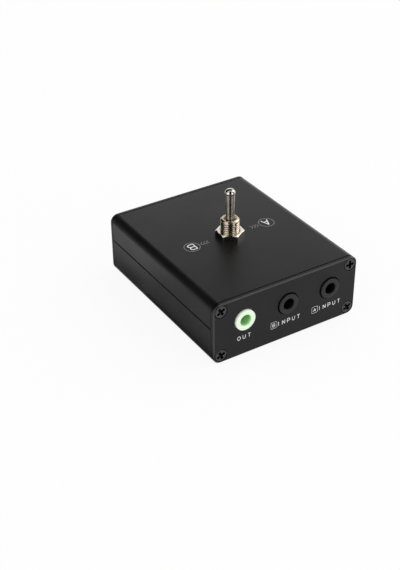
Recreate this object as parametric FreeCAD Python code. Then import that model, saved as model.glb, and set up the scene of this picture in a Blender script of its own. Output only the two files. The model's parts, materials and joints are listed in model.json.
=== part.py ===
import FreeCAD, Part
import math
import os

# Audio switch box: two half shells of extruded aluminium closed by two end plates,
# three 3.5 mm jacks on a circuit board and a miniature toggle switch through the top.
# X runs to the right of the front plate, Y to the rear and Z up, in millimetres.
# The origin is the middle of the underside.

# Enclosure
box_width = 50.0
box_length = 60.0
corner_radius = 2.5
wall = 1.5
plate_thickness = 1.5
plate_face_bevel = 0.35

# Joint between the half shells
parting_height = 11.6
parting_bevel = 0.27
tongue_height = 1.2
tongue_thickness = 0.7
tongue_clearance = 0.08

# Screw channels in the shell corners, and the screws
screw_inset = 2.5
channel_bore_radius = 0.97
channel_wall = 0.8
channel_slit = 0.9
screw_shank_radius = 0.95
screw_length = 6.0
screw_head_radius = 1.85
screw_head_sink = 0.12
screw_hole_clearance = 0.2
screw_sides = 12

# Circuit board, the ribs that hold it, and its soldered pins
board_height = 4.8
board_thickness = 1.6
board_side_clearance = 0.2
board_end_clearance = 0.5
rib_reach = 1.7
rib_thickness = 1.0
rib_clearance = 0.15
pin_clearance = 0.1
pin_reach = 1.0
solder_radius = 1.0
solder_tip_radius = 0.9
solder_height = 0.6
solder_sides = 4

# Jacks
jack_row_offset = 0.37
jack_wall_gap = 2.75
jack_width = 11.0
jack_depth = 13.4
jack_axis_rise = 5.6
jack_roof_rise = 4.6
jack_roof_bevel = 1.2
jack_back_wall = 1.2
jack_plate_clearance = 0.15
nozzle_radius = 3.3
nozzle_proud = 0.5
nozzle_hole_clearance = 0.15
plug_bore_radius = 1.8
plug_lead_in = 0.35

# Spring contacts in the jacks, each placed by its depth from the nozzle's face
sleeve_contact_depth = 4.6
ring_contact_depth = 8.6
tip_contact_depth = 11.3
contact_thickness = 0.3
contact_height = 1.8
contact_outreach = 4.6
contact_base_ahead = 1.2
contact_base_behind = 1.6
contact_bend = 0.6
contact_flare = 0.5
contact_leg_width = 1.0
contact_clearance = 0.1
contact_bore_clearance = 0.06

# Toggle switch: bushing and nuts
bushing_length = 9.0
bushing_radius = 2.9
bushing_bevel = 0.45
collar_reach = 0.9
collar_thickness = 0.6
panel_hole_clearance = 0.15
thread_clearance = 0.02
nut_thickness = 1.7
nut_across_flats = 7.85
panel_nut_turn = -31.0
inner_nut_turn = 0.0

# Toggle switch: lever and its pivot pin
lever_throw = 12.0
lever_length = 9.9
lever_root_radius = 1.26
lever_shaft_radius = 1.45
lever_waist = 0.02
lever_tip_radius = 1.6
lever_tail_radius = 0.75
pivot_depth = 3.0
ball_radius = 1.8
ball_clearance = 0.05
throat_rise = 1.15
ball_skirt = 0.5
swing_clearance = 0.08
pin_radius = 0.4
pin_engagement = 0.3
pin_fit = 0.01

# Toggle switch: carrier, plungers and their springs
carrier_drop = 0.8
carrier_length = 3.0
carrier_height = 2.4
carrier_roof = 0.5
carrier_side = 0.55
carrier_edge_bevel = 0.3
tail_engagement = 1.5
plunger_radius = 0.7
plunger_nose_radius = 1.0
plunger_reach = 1.55
plunger_engagement = 0.55
plunger_clearance = 0.03
plunger_gap = 0.15
spring_wire = 0.16
spring_radius = 0.45
spring_turns = 3
spring_steps = 6

# Toggle switch: rockers, terminals, case and frame
pole_spacing = 4.8
throw_spacing = 4.7
rocker_throw = 8.0
rocker_width = 1.9
rocker_thickness = 0.35
rocker_end_margin = 0.1
rocker_clearance = 0.05
rocker_groove = 0.1
saddle_half = 2.4
fulcrum_rise = 1.5
terminal_thickness = 0.8
terminal_width = 1.2
terminal_margin = 0.3
case_wall = 1.2
case_floor = 1.6
case_side_room = 1.5
barrier_thickness = 0.8
barrier_height = 2.4
switch_standoff = 1.0
frame_thickness = 0.5
frame_leg_width = 8.0
frame_tab_width = 4.0
frame_tab_reach = 0.8
frame_tab_rise = 0.6

Vector = FreeCAD.Vector
ALONG_X = Vector(1, 0, 0)
ALONG_Y = Vector(0, 1, 0)
ALONG_Z = Vector(0, 0, 1)
CENTRE = Vector(0, 0, 0)

# Levels, from the underside up: the board, the switch's stack on it, and the top
board_top = board_height + board_thickness
pin_end = board_height - pin_reach
case_base = board_top + switch_standoff
case_floor_top = case_base + case_floor
fulcrum_height = case_floor_top + fulcrum_rise
rocker_axis = fulcrum_height - terminal_thickness / 2
rocker_top = fulcrum_height + rocker_clearance - rocker_groove + rocker_thickness
plunger_tip = rocker_top + plunger_gap
carrier_base = plunger_tip + plunger_reach
carrier_top = carrier_base + carrier_height
bushing_foot = carrier_top + carrier_drop
case_top = bushing_foot + collar_thickness
frame_top = case_top + frame_thickness
ceiling = frame_top + nut_thickness
body_height = ceiling + wall
bushing_top = frame_top + bushing_length
pivot_height = bushing_top - pivot_depth
jack_height = board_top + jack_axis_rise

# Places along X and Y that several pieces share
inner_half_width = box_width / 2 - wall
body_end = box_length / 2 - plate_thickness
jack_pitch = inner_half_width - jack_wall_gap - jack_width / 2 - jack_row_offset
jack_front = -body_end + jack_plate_clearance
jack_rear = jack_front + jack_depth
nozzle_face = -box_length / 2 - nozzle_proud
case_half_length = throw_spacing + terminal_thickness / 2 + terminal_margin + case_wall
carrier_half_width = pole_spacing / 2 + plunger_radius + carrier_side
case_half_width = carrier_half_width + case_side_room + case_wall
rocker_half_length = throw_spacing - rocker_end_margin
seat_radius = ball_radius + ball_clearance

# The rocker's saddle follows the path of the plungers' noses, so their gap holds through the throw
gearing = rocker_throw / lever_throw
nose_swing = pivot_height - plunger_tip - plunger_nose_radius
nose_rise = plunger_tip + plunger_nose_radius - rocker_axis
path_radius = (nose_swing - gearing * nose_rise) ** 2 / (nose_swing * (2 * gearing + 1) - gearing ** 2 * nose_rise)
saddle_radius = path_radius + plunger_nose_radius + plunger_gap

JACKS = {
    "out_jack": jack_row_offset - jack_pitch,
    "input_b_jack": jack_row_offset,
    "input_a_jack": jack_row_offset + jack_pitch,
}
CONTACTS = {
    "sleeve_contact": (-1, sleeve_contact_depth),
    "ring_contact": (1, ring_contact_depth),
    "tip_contact": (-1, tip_contact_depth),
}


def box_between(low, high):
    """A block between two opposite corners."""
    size = Vector(*high) - Vector(*low)
    return Part.makeBox(size.x, size.y, size.z, Vector(*low))


def block_at(x, y, size_x, size_y, low, high):
    """A block centred on a place in plan, between two heights."""
    return box_between((x - size_x / 2, y - size_y / 2, low), (x + size_x / 2, y + size_y / 2, high))


def rod_along_y(radius, x, z, start, end):
    """A round rod parallel to Y."""
    return Part.makeCylinder(radius, end - start, Vector(x, start, z), ALONG_Y)


def prism_along_y(outline, start, end):
    """A prism parallel to Y from the (x, z) points of its section."""
    corners = [Vector(x, start, z) for x, z in outline]
    return Part.Face(Part.makePolygon(corners + corners[:1])).extrude(ALONG_Y * (end - start))


def rounded_bar(half_width, low, high, radius, start, end):
    """A bar parallel to Y whose section is a rounded rectangle."""
    bar = box_between((-half_width, start, low), (half_width, end, high))
    long_edges = [edge for edge in bar.Edges if abs(edge.tangentAt(edge.FirstParameter).y) > 0.9]
    return bar.makeFillet(radius, long_edges)


def on_sphere(radius, centre, rise):
    """The (radius, height) point of a sphere's outline at a rise above its centre."""
    return math.sqrt(radius ** 2 - rise ** 2), centre + rise


def sphere_arc(radius, centre, start_rise, end_rise):
    """An arc of a sphere's outline, as the middle and end points that turned() takes."""
    middle = on_sphere(radius, centre, (start_rise + end_rise) / 2)
    return middle, on_sphere(radius, centre, end_rise)


def turned(outline):
    """A solid of revolution about Z. Each step is a (radius, height) point or an arc's two points."""
    edges = []
    here = Vector(outline[0][0], 0, outline[0][1])
    for step in outline[1:] + outline[:1]:
        points = step if isinstance(step[0], tuple) else (step,)
        ends = [Vector(radius, 0, height) for radius, height in points]
        if len(ends) == 2:
            edges.append(Part.Arc(here, *ends).toShape())
        else:
            edges.append(Part.LineSegment(here, ends[0]).toShape())
        here = ends[-1]
    return Part.Face(Part.Wire(edges)).revolve(CENTRE, ALONG_Z, 360)


def faceted(outline, sides):
    """A solid about Z with polygons for its sections, for small pieces that are there many times."""
    rings = []
    for radius, height in outline:
        angles = [2 * math.pi * side / sides for side in range(sides)] + [0]
        rings.append([Vector(radius * math.cos(angle), radius * math.sin(angle), height) for angle in angles])
    faces = [Part.Face(Part.makePolygon(rings[0])), Part.Face(Part.makePolygon(rings[-1]))]
    for below, above in zip(rings, rings[1:]):
        for side in range(sides):
            corners = [below[side], below[side + 1], above[side + 1], above[side], below[side]]
            faces.append(Part.Face(Part.makePolygon(corners)))
    return Part.makeSolid(Part.makeShell(faces))


def out_of_plate(shape, x, z, facing):
    """Lays a shape made about Z along Y, its zero height on an end plate's outer face."""
    shape.rotate(CENTRE, ALONG_X, -90 * facing)
    shape.translate(Vector(x, facing * box_length / 2, z))
    return shape


def ribbon(points, thickness, low, high):
    """A standing strip of sheet metal that follows points in plan, mitred at its knees."""
    knees = [Vector(*point, low) for point in points]
    runs = [(end - start).normalize() for start, end in zip(knees, knees[1:])]
    left = []
    right = []
    for knee, before, after in zip(knees, runs[:1] + runs, runs + runs[-1:]):
        mitre = ALONG_Z.cross(before + after) * (thickness / 2 / (1 + before.dot(after)))
        left.append(knee + mitre)
        right.append(knee - mitre)
    outline = left + right[::-1]
    return Part.Face(Part.makePolygon(outline + outline[:1])).extrude(ALONG_Z * (high - low))


def both_sides(inner, outer, low, high):
    """A left and a right strip along the body, between two distances from its middle plane."""
    right = box_between((inner, -body_end, low), (outer, body_end, high))
    left = box_between((-outer, -body_end, low), (-inner, body_end, high))
    return right.fuse(left)


def screw_places():
    """The four screw axes as (x, z)."""
    side = box_width / 2 - screw_inset
    return [(x, z) for x in (-side, side) for z in (screw_inset, body_height - screw_inset)]


def screw_channels():
    """The walls of the four screw channels, and the bores and slits that open them."""
    walls = []
    hollows = []
    outer = channel_bore_radius + channel_wall
    for x, z in screw_places():
        walls.append(rod_along_y(outer, x, z, -body_end, body_end))
        hollows.append(rod_along_y(channel_bore_radius, x, z, -body_end, body_end))
        slit_x = x - math.copysign(outer / 2, x)
        hollows.append(box_between((slit_x - outer / 2, -body_end, z - channel_slit / 2),
                                   (slit_x + outer / 2, body_end, z + channel_slit / 2)))
    return walls, hollows


def parting_grooves():
    """The small vees along both sides where the half shells meet."""
    grooves = []
    for side in (-1, 1):
        edge = side * box_width / 2
        grooves.append(prism_along_y([(edge, parting_height - parting_bevel),
                                      (edge - side * parting_bevel, parting_height),
                                      (edge, parting_height + parting_bevel)], -body_end, body_end))
    return grooves


def half_shells():
    """The upper and the lower half shell, which lap at the sides."""
    walls, hollows = screw_channels()
    outer = rounded_bar(box_width / 2, 0, body_height, corner_radius, -body_end, body_end)
    inner = rounded_bar(inner_half_width, wall, ceiling, max(corner_radius - wall, 0.2), -body_end, body_end)
    tube = outer.cut(inner).fuse(walls)
    above = box_between((-box_width, -box_length, parting_height), (box_width, box_length, 2 * body_height))
    tongue_edge = inner_half_width + tongue_thickness
    tongue_top = parting_height + tongue_height
    tongue = both_sides(inner_half_width, tongue_edge, parting_height, tongue_top)
    groove = both_sides(inner_half_width, tongue_edge + tongue_clearance,
                        parting_height, tongue_top + tongue_clearance)
    hole = Part.makeCylinder(bushing_radius + panel_hole_clearance, 2 * wall, Vector(0, 0, ceiling - wall / 2))
    upper = tube.common(above).cut(hollows + [groove, hole] + parting_grooves())
    rib_edge = inner_half_width - rib_reach
    rest = both_sides(rib_edge, inner_half_width, screw_inset, board_height)
    keeper_base = board_top + rib_clearance
    keeper = both_sides(rib_edge, inner_half_width, keeper_base, keeper_base + rib_thickness)
    lower = tube.cut(above).fuse([tongue, rest, keeper]).cut(hollows + parting_grooves())
    return upper.removeSplitter(), lower.removeSplitter()


def screw_seat():
    """The clearance hole and conical seat for a screw, made about Z below a plate's face."""
    mouth = screw_head_radius + screw_head_sink
    hole = screw_shank_radius + screw_hole_clearance
    return faceted([(mouth, 0), (hole, hole - mouth), (hole, -plate_thickness)], screw_sides)


def end_plate(facing):
    """An end plate; facing is -1 at the front and 1 at the rear."""
    face = facing * box_length / 2
    back = facing * body_end
    plate = rounded_bar(box_width / 2, 0, body_height, corner_radius, min(face, back), max(face, back))
    rim = [edge for edge in plate.Edges if all(abs(end.Point.y - face) < 1e-6 for end in edge.Vertexes)]
    plate = plate.makeChamfer(plate_face_bevel, rim)
    return plate.cut([out_of_plate(screw_seat(), x, z, facing) for x, z in screw_places()])


def front_plate():
    """The front plate with its three nozzle holes."""
    radius = nozzle_radius + nozzle_hole_clearance
    return end_plate(-1).cut([rod_along_y(radius, x, jack_height, -box_length, 0) for x in JACKS.values()])


def plate_screws(facing):
    """The four countersunk screws of one end plate, without their threads and recesses."""
    top = -screw_head_sink
    throat = top - (screw_head_radius - screw_shank_radius)
    screw = faceted([(screw_head_radius, top), (screw_shank_radius, throat),
                     (screw_shank_radius, top - screw_length)], screw_sides)
    return Part.makeCompound([out_of_plate(screw.copy(), x, z, facing) for x, z in screw_places()])


def contact_places():
    """Each spring contact as its jack, its kind, the side it stands on and its bump's depth."""
    return [(jack, kind, side, depth) for jack in JACKS for kind, (side, depth) in CONTACTS.items()]


def contact_leg(jack, side, depth):
    """The place in plan of a spring contact's leg."""
    middle = depth + (contact_base_behind - contact_base_ahead) / 2
    return JACKS[jack] + side * contact_outreach, nozzle_face + middle


def spring_contact(jack, side, depth):
    """A folded leaf whose bump stands at the plug's surface, with a leg through the board."""
    axis = JACKS[jack]
    bump = plug_bore_radius + contact_bore_clearance + contact_thickness / 2
    steps = [(contact_outreach, -contact_base_ahead), (contact_outreach, contact_base_behind),
             (contact_outreach - contact_bend, contact_base_behind + contact_bend),
             (bump, 0), (bump + contact_flare, -contact_base_ahead)]
    points = [(axis + side * out, nozzle_face + depth + along) for out, along in steps]
    low = jack_height - contact_height / 2
    leaf = ribbon(points, contact_thickness, low, low + contact_height)
    leg_x, leg_y = contact_leg(jack, side, depth)
    leg = block_at(leg_x, leg_y, contact_thickness, contact_leg_width, pin_end, low + contact_height)
    return leaf.fuse(leg).removeSplitter()


def contact_pocket(jack, side, depth):
    """The space in a housing for one spring contact and its leg."""
    outer = JACKS[jack] + side * (contact_outreach + contact_thickness / 2)
    low = jack_height - contact_height / 2 - contact_clearance
    near = nozzle_face + depth - contact_base_ahead - contact_clearance
    far = nozzle_face + depth + contact_base_behind + 2 * contact_bend
    pocket = box_between((min(outer, JACKS[jack]), near, low),
                         (max(outer, JACKS[jack]), far, low + contact_height + 2 * contact_clearance))
    leg_x, leg_y = contact_leg(jack, side, depth)
    gap = 2 * contact_clearance
    return pocket.fuse(block_at(leg_x - side * contact_clearance, leg_y, contact_thickness + gap,
                                contact_leg_width + gap, board_top, jack_height))


def jack_housing(jack):
    """A moulded jack housing with its nozzle, plug bore and contact pockets."""
    axis = JACKS[jack]
    half = jack_width / 2
    roof = jack_height + jack_roof_rise
    body = prism_along_y([(axis - half, board_top), (axis + half, board_top),
                          (axis + half, roof - jack_roof_bevel), (axis + half - jack_roof_bevel, roof),
                          (axis - half + jack_roof_bevel, roof), (axis - half, roof - jack_roof_bevel)],
                         jack_front, jack_rear)
    body = body.fuse(rod_along_y(nozzle_radius, axis, jack_height, nozzle_face, jack_front))
    bore = rod_along_y(plug_bore_radius, axis, jack_height, nozzle_face, jack_rear - jack_back_wall)
    mouth = Part.makeCone(plug_bore_radius + plug_lead_in, plug_bore_radius, plug_lead_in,
                          Vector(axis, nozzle_face, jack_height), ALONG_Y)
    pockets = [contact_pocket(jack, side, depth) for side, depth in CONTACTS.values()]
    return body.cut([bore, mouth] + pockets).removeSplitter()


def pole_places():
    """The middle of each pole of the switch along Y."""
    return (-pole_spacing / 2, pole_spacing / 2)


def terminal_places():
    """The switch terminals in plan."""
    return [(x, y) for y in pole_places() for x in (-throw_spacing, 0, throw_spacing)]


def terminals():
    """The six terminals: the middle ones carry the rockers, the outer ones take their tips."""
    throw = math.radians(rocker_throw)
    tip_foot = fulcrum_height - rocker_groove - rocker_axis
    contact_top = rocker_axis + tip_foot * math.cos(throw) - rocker_half_length * math.sin(throw) - rocker_clearance
    pieces = []
    for x, y in terminal_places():
        top = contact_top if x else rocker_axis
        blade = block_at(x, y, terminal_thickness, terminal_width, pin_end, top)
        if not x:
            nose = rod_along_y(terminal_thickness / 2, x, top, y - terminal_width / 2, y + terminal_width / 2)
            blade = blade.fuse(nose).removeSplitter()
        pieces.append(blade)
    return pieces


def rocker(pole):
    """A gull-winged rocker: a saddle for the plunger, grooved for its fulcrum, and two falling wings."""
    under = rocker_top - rocker_thickness
    foot = under - rocker_clearance
    axis = rocker_top + saddle_radius
    depth = math.sqrt(saddle_radius ** 2 - saddle_half ** 2)
    lower_half = saddle_half * (saddle_radius + rocker_thickness) / saddle_radius
    lower_depth = depth * (saddle_radius + rocker_thickness) / saddle_radius
    tip = rocker_half_length
    corners = {
        "tip_top": (tip, foot + rocker_thickness), "crest": (saddle_half, axis - depth),
        "tip_foot": (tip, foot), "armpit": (lower_half, axis - lower_depth),
    }
    left = {name: Vector(-x, 0, z) for name, (x, z) in corners.items()}
    right = {name: Vector(x, 0, z) for name, (x, z) in corners.items()}
    edges = [
        Part.LineSegment(left["tip_top"], left["crest"]),
        Part.Arc(left["crest"], Vector(0, 0, rocker_top), right["crest"]),
        Part.LineSegment(right["crest"], right["tip_top"]),
        Part.LineSegment(right["tip_top"], right["tip_foot"]),
        Part.LineSegment(right["tip_foot"], right["armpit"]),
        Part.Arc(right["armpit"], Vector(0, 0, under), left["armpit"]),
        Part.LineSegment(left["armpit"], left["tip_foot"]),
        Part.LineSegment(left["tip_foot"], left["tip_top"]),
    ]
    strip = Part.Face(Part.Wire([edge.toShape() for edge in edges])).extrude(ALONG_Y * rocker_width)
    strip.translate(Vector(0, pole - rocker_width / 2, 0))
    return strip.cut(rod_along_y(terminal_thickness / 2 + rocker_clearance, 0, rocker_axis,
                                 pole - rocker_width, pole + rocker_width))


def frame_tabs(clearance):
    """The two tabs that hook the frame's legs under the case, or the notches for them."""
    low = case_base + frame_tab_rise
    tabs = []
    for side in (-1, 1):
        reach = frame_tab_reach + clearance
        middle = side * (case_half_length - reach / 2)
        tabs.append(block_at(middle, 0, reach, frame_tab_width + 2 * clearance,
                             low - clearance, low + frame_thickness))
    return tabs


def switch_case():
    """The moulded case: a tub with a barrier between the poles and slots for the terminals."""
    tub = block_at(0, 0, 2 * case_half_length, 2 * case_half_width, case_base, case_top)
    cavity = block_at(0, 0, 2 * (case_half_length - case_wall), 2 * (case_half_width - case_wall),
                      case_floor_top, case_top)
    barrier = block_at(0, 0, 2 * (case_half_length - case_wall), barrier_thickness,
                       case_floor_top, case_floor_top + barrier_height)
    return tub.cut(cavity).fuse(barrier).cut(terminals() + frame_tabs(contact_clearance)).removeSplitter()


def switch_frame():
    """The sheet metal frame: a top plate, two legs and their hooked tabs."""
    outer = case_half_length + frame_thickness
    plate = block_at(0, 0, 2 * outer, 2 * case_half_width, case_top, frame_top)
    hole = Part.makeCylinder(bushing_radius + thread_clearance, 2 * frame_thickness,
                             Vector(0, 0, case_top - frame_thickness / 2))
    legs = []
    for side in (-1, 1):
        middle = side * (case_half_length + frame_thickness / 2)
        legs.append(block_at(middle, 0, frame_thickness, frame_leg_width, case_base + frame_tab_rise, case_top))
    return plate.cut(hole).fuse(legs + frame_tabs(0)).removeSplitter()


def tail_swing(drop):
    """The radius that the lever's tail needs at a drop below the pivot, at full throw."""
    throw = math.radians(lever_throw)
    return drop * math.tan(throw) + lever_tail_radius / math.cos(throw) + swing_clearance


def throat_radius():
    """The radius where the ball's seat meets the funnel."""
    return math.sqrt(seat_radius ** 2 - throat_rise ** 2)


def toggle_bushing():
    """The bushing: a funnel, a ball seat, a counterbore for the swinging tail, and a collar."""
    throw = math.radians(lever_throw)
    mouth = lever_root_radius / math.cos(throw) + pivot_depth * math.tan(throw) + swing_clearance
    foot_radius = max(tail_swing(pivot_height - bushing_foot), seat_radius + swing_clearance)
    barrel = turned([
        (foot_radius, bushing_foot), (bushing_radius + collar_reach, bushing_foot),
        (bushing_radius + collar_reach, case_top), (bushing_radius, case_top),
        (bushing_radius, bushing_top - bushing_bevel), (bushing_radius - bushing_bevel, bushing_top),
        (mouth, bushing_top), (throat_radius(), pivot_height + throat_rise),
        sphere_arc(seat_radius, pivot_height, throat_rise, 0), (seat_radius, pivot_height - ball_skirt),
        (foot_radius, pivot_height - ball_skirt),
    ])
    groove = pin_radius + ball_clearance
    reach = seat_radius + pin_engagement + ball_clearance
    slot = block_at(0, 0, 2 * groove, 2 * reach, bushing_foot, pivot_height)
    return barrel.cut([slot, rod_along_y(groove, 0, pivot_height, -reach, reach)])


def hex_nut(base, turn, bevelled):
    """A hexagonal nut about Z, with its upper corners turned off at 30 degrees where it is in view."""
    flat = nut_across_flats / 2
    corner = flat / math.cos(math.pi / 6)
    top = base + nut_thickness
    nut = faceted([(corner, base), (corner, top)], 6)
    if bevelled:
        fall = (corner - flat) * math.tan(math.pi / 6)
        nut = nut.common(turned([(0, base), (corner, base), (corner, top - fall), (flat, top), (0, top)]))
    nut = nut.cut(Part.makeCylinder(bushing_radius + thread_clearance, nut_thickness, Vector(0, 0, base)))
    nut.rotate(CENTRE, ALONG_Z, turn)
    return nut


def toggle_lever():
    """The lever: tail, pivot ball on a cone, neck, a shaft that swells to its end, and ball tip."""
    throw = math.radians(lever_throw)
    neck = (throat_radius() - swing_clearance - throat_rise * math.tan(throw)) * math.cos(throw)
    ball_crown = math.sqrt(ball_radius ** 2 - neck ** 2)
    tip_centre = bushing_top + lever_length - lever_tip_radius
    tip_foot = -math.sqrt(lever_tip_radius ** 2 - lever_shaft_radius ** 2)
    waist = ((lever_root_radius + lever_shaft_radius) / 2 - lever_waist, (bushing_top + tip_centre + tip_foot) / 2)
    tail_end = carrier_top - tail_engagement
    lever = turned([
        (0, tail_end), (lever_tail_radius, tail_end), (lever_tail_radius, pivot_height - ball_radius),
        on_sphere(ball_radius, pivot_height, -ball_skirt),
        sphere_arc(ball_radius, pivot_height, -ball_skirt, ball_crown), (lever_root_radius, bushing_top),
        (waist, (lever_shaft_radius, tip_centre + tip_foot)),
        sphere_arc(lever_tip_radius, tip_centre, tip_foot, lever_tip_radius),
    ])
    return lever.cut(rod_along_y(pin_radius, 0, pivot_height, -ball_radius, ball_radius))


def pivot_pin():
    """The cross pin in the lever's ball; its ends turn in the bushing's grooves."""
    half = seat_radius + pin_engagement
    return rod_along_y(pin_radius - pin_fit, 0, pivot_height, -half, half)


def plunger_carrier():
    """The moulded saddle on the lever's tail, with a bore over each pole."""
    block = block_at(0, 0, carrier_length, 2 * carrier_half_width, carrier_base, carrier_top)
    rim = [edge for edge in block.Edges if abs(edge.tangentAt(edge.FirstParameter).y) > 0.9]
    block = block.makeChamfer(carrier_edge_bevel, rim)
    tail = Part.makeCylinder(lever_tail_radius, tail_engagement, Vector(0, 0, carrier_top - tail_engagement))
    depth = carrier_height - carrier_roof
    bores = [Part.makeCylinder(plunger_radius + plunger_clearance, depth, Vector(0, y, carrier_base))
             for y in pole_places()]
    return block.cut([tail] + bores)


def plungers():
    """The two round-nosed plungers that press on the rockers."""
    nose = plunger_tip + plunger_nose_radius
    shoulder = -math.sqrt(plunger_nose_radius ** 2 - plunger_radius ** 2)
    top = carrier_base + plunger_engagement
    blank = turned([(0, plunger_tip), sphere_arc(plunger_nose_radius, nose, -plunger_nose_radius, shoulder),
                    (plunger_radius, top), (0, top)])
    return Part.makeCompound([blank.translated(Vector(0, y, 0)) for y in pole_places()])


def plunger_springs():
    """The two coil springs above the plungers, drawn in straight steps of square wire."""
    half = spring_wire / 2
    low = carrier_base + plunger_engagement + half
    high = carrier_top - carrier_roof - half
    steps = spring_steps * spring_turns
    path = []
    for step in range(steps + 1):
        angle = 2 * math.pi * step / spring_steps
        path.append(Vector(spring_radius * math.cos(angle), spring_radius * math.sin(angle),
                           low + (high - low) * step / steps))
    section = [path[0] + Vector(x, 0, z) for x, z in ((-half, -half), (half, -half), (half, half), (-half, half))]
    coil = Part.makePolygon(path).makePipeShell([Part.makePolygon(section + section[:1])], True, True, 1)
    return Part.makeCompound([coil.translated(Vector(0, y, 0)) for y in pole_places()])


def board_pins():
    """Every soldered pin as its place in plan and its section."""
    legs = [(*contact_leg(jack, side, depth), contact_thickness, contact_leg_width)
            for jack, kind, side, depth in contact_places()]
    return legs + [(x, y, terminal_thickness, terminal_width) for x, y in terminal_places()]


def circuit_board():
    """The board, as wide as its slots, with a hole for every pin."""
    width = 2 * (inner_half_width - board_side_clearance)
    length = 2 * (body_end - board_end_clearance)
    board = block_at(0, 0, width, length, board_height, board_top)
    gap = 2 * pin_clearance
    return board.cut([block_at(x, y, size_x + gap, size_y + gap, board_height, board_top)
                      for x, y, size_x, size_y in board_pins()])


def solder_joints():
    """A fillet of solder round every pin, under the board."""
    joints = []
    for x, y, size_x, size_y in board_pins():
        foot = board_height - solder_height
        mound = faceted([(solder_tip_radius, foot), (solder_radius, board_height)], solder_sides)
        mound.rotate(CENTRE, ALONG_Z, 180 / solder_sides)
        mound.translate(Vector(x, y, 0))
        joints.append(mound.cut(block_at(x, y, size_x, size_y, foot, board_height)))
    return Part.makeCompound(joints)


def build_nodes():
    """Every node's shape by its name."""
    upper, lower = half_shells()
    nodes = {
        "top_shell": upper,
        "bottom_shell": lower,
        "front_plate": front_plate(),
        "rear_plate": end_plate(1),
        "front_plate_screws": plate_screws(-1),
        "rear_plate_screws": plate_screws(1),
        "circuit_board": circuit_board(),
        "solder_joints": solder_joints(),
        "toggle_bushing": toggle_bushing(),
        "panel_nut": hex_nut(body_height, panel_nut_turn, True),
        "inner_nut": hex_nut(frame_top, inner_nut_turn, False),
        "switch_frame": switch_frame(),
        "switch_case": switch_case(),
        "switch_terminals": Part.makeCompound(terminals()),
        "front_rocker": rocker(-pole_spacing / 2),
        "rear_rocker": rocker(pole_spacing / 2),
        "toggle_lever": toggle_lever(),
        "lever_pivot_pin": pivot_pin(),
        "plunger_carrier": plunger_carrier(),
        "plungers": plungers(),
        "plunger_springs": plunger_springs(),
    }
    for jack in JACKS:
        nodes[f"{jack}_housing"] = jack_housing(jack)
    for jack, kind, side, depth in contact_places():
        nodes[f"{jack}_{kind}"] = spring_contact(jack, side, depth)
    return nodes


os.makedirs("parts", exist_ok=True)
for name, shape in build_nodes().items():
    shape.exportStep(f"parts/{name}.step")
    print(f"{name}: {len(shape.Solids)} solid(s), {shape.Volume:.2f} mm3, valid {shape.isValid()}")
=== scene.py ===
"""The looks of an audio switch box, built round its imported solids, in millimetres up to the studio."""

import json
import logging
import math
from abc import ABC, abstractmethod
from collections.abc import Callable, Sequence
from dataclasses import dataclass, field
from enum import Enum

import bmesh
import bpy
from mathutils import Matrix, Vector


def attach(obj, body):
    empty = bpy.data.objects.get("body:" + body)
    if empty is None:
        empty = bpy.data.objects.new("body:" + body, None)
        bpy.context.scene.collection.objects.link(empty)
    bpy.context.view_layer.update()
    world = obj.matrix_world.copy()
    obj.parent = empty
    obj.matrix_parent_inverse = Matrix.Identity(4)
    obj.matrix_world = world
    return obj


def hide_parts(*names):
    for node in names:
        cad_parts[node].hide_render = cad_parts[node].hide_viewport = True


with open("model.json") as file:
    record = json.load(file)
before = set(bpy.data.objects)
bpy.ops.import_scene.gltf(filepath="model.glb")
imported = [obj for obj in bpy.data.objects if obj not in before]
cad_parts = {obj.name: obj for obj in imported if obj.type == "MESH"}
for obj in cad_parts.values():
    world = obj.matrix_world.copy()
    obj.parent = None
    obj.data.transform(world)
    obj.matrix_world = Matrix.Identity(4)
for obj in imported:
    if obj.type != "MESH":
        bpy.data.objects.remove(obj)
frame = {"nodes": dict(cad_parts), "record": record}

LOG = logging.getLogger("switch_box")
MM = 0.001
TINY = 1e-6
CUT_PAST = 0.5
JACK_PLACES = {"out_jack": -14.51, "input_b_jack": 0.37, "input_a_jack": 15.25}
JACK_HEIGHT = 12.0

Point = tuple[float, float]
Corner = tuple[float, float, float]
Colour = tuple[float, float, float]
Ring = Callable[[float], Point]
Form = bmesh.types.BMesh
Socket = bpy.types.NodeSocket


class Body(Enum):
    """The bodies of the frame that pieces ride on."""

    BOX = "switch_box"
    TOGGLE = "toggle"


class End(Enum):
    """The two ends of the enclosure, by the sign of their Y."""

    FRONT = -1
    REAR = 1


class Effect(Enum):
    """The surface effects that several finishes share, each with the names of its inputs."""

    BLASTED_GRAIN = ("Grain Scale", "Cloud Scale")
    WORN_EDGES = ("Reach", "Patch Scale")
    SETTLED_DUST = ("Speck Scale", "Cover")
    TURNING_LINES = ("Line Scale",)
    HANDLING_MARKS = ("Smear Scale",)
    # Also where the anodised finishes paint a highlight on the end chamfers
    BROKEN_EDGES = ("Least", "Most")
    # Where the moulded nozzles' outer walls get painted light and painted shade
    NOZZLE_SKIRT = ("Face", "Hole")


def bowed(centre: Point, reach: Point, start: float, stop: float, steps: int = 8) -> list[Point]:
    """Points on an upright ellipse.

    Args:
        centre: Its centre.
        reach: Half its width and half its height.
        start: The angle of the first point, in degrees.
        stop: The angle of the last.
        steps: The number of steps between them.

    Returns:
        The points, evenly spread by angle.
    """
    angles = [math.radians(start + (stop - start) * step / steps) for step in range(steps + 1)]
    (x, y), (across, up) = centre, reach
    return [(x + across * math.cos(angle), y + up * math.sin(angle)) for angle in angles]


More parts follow.
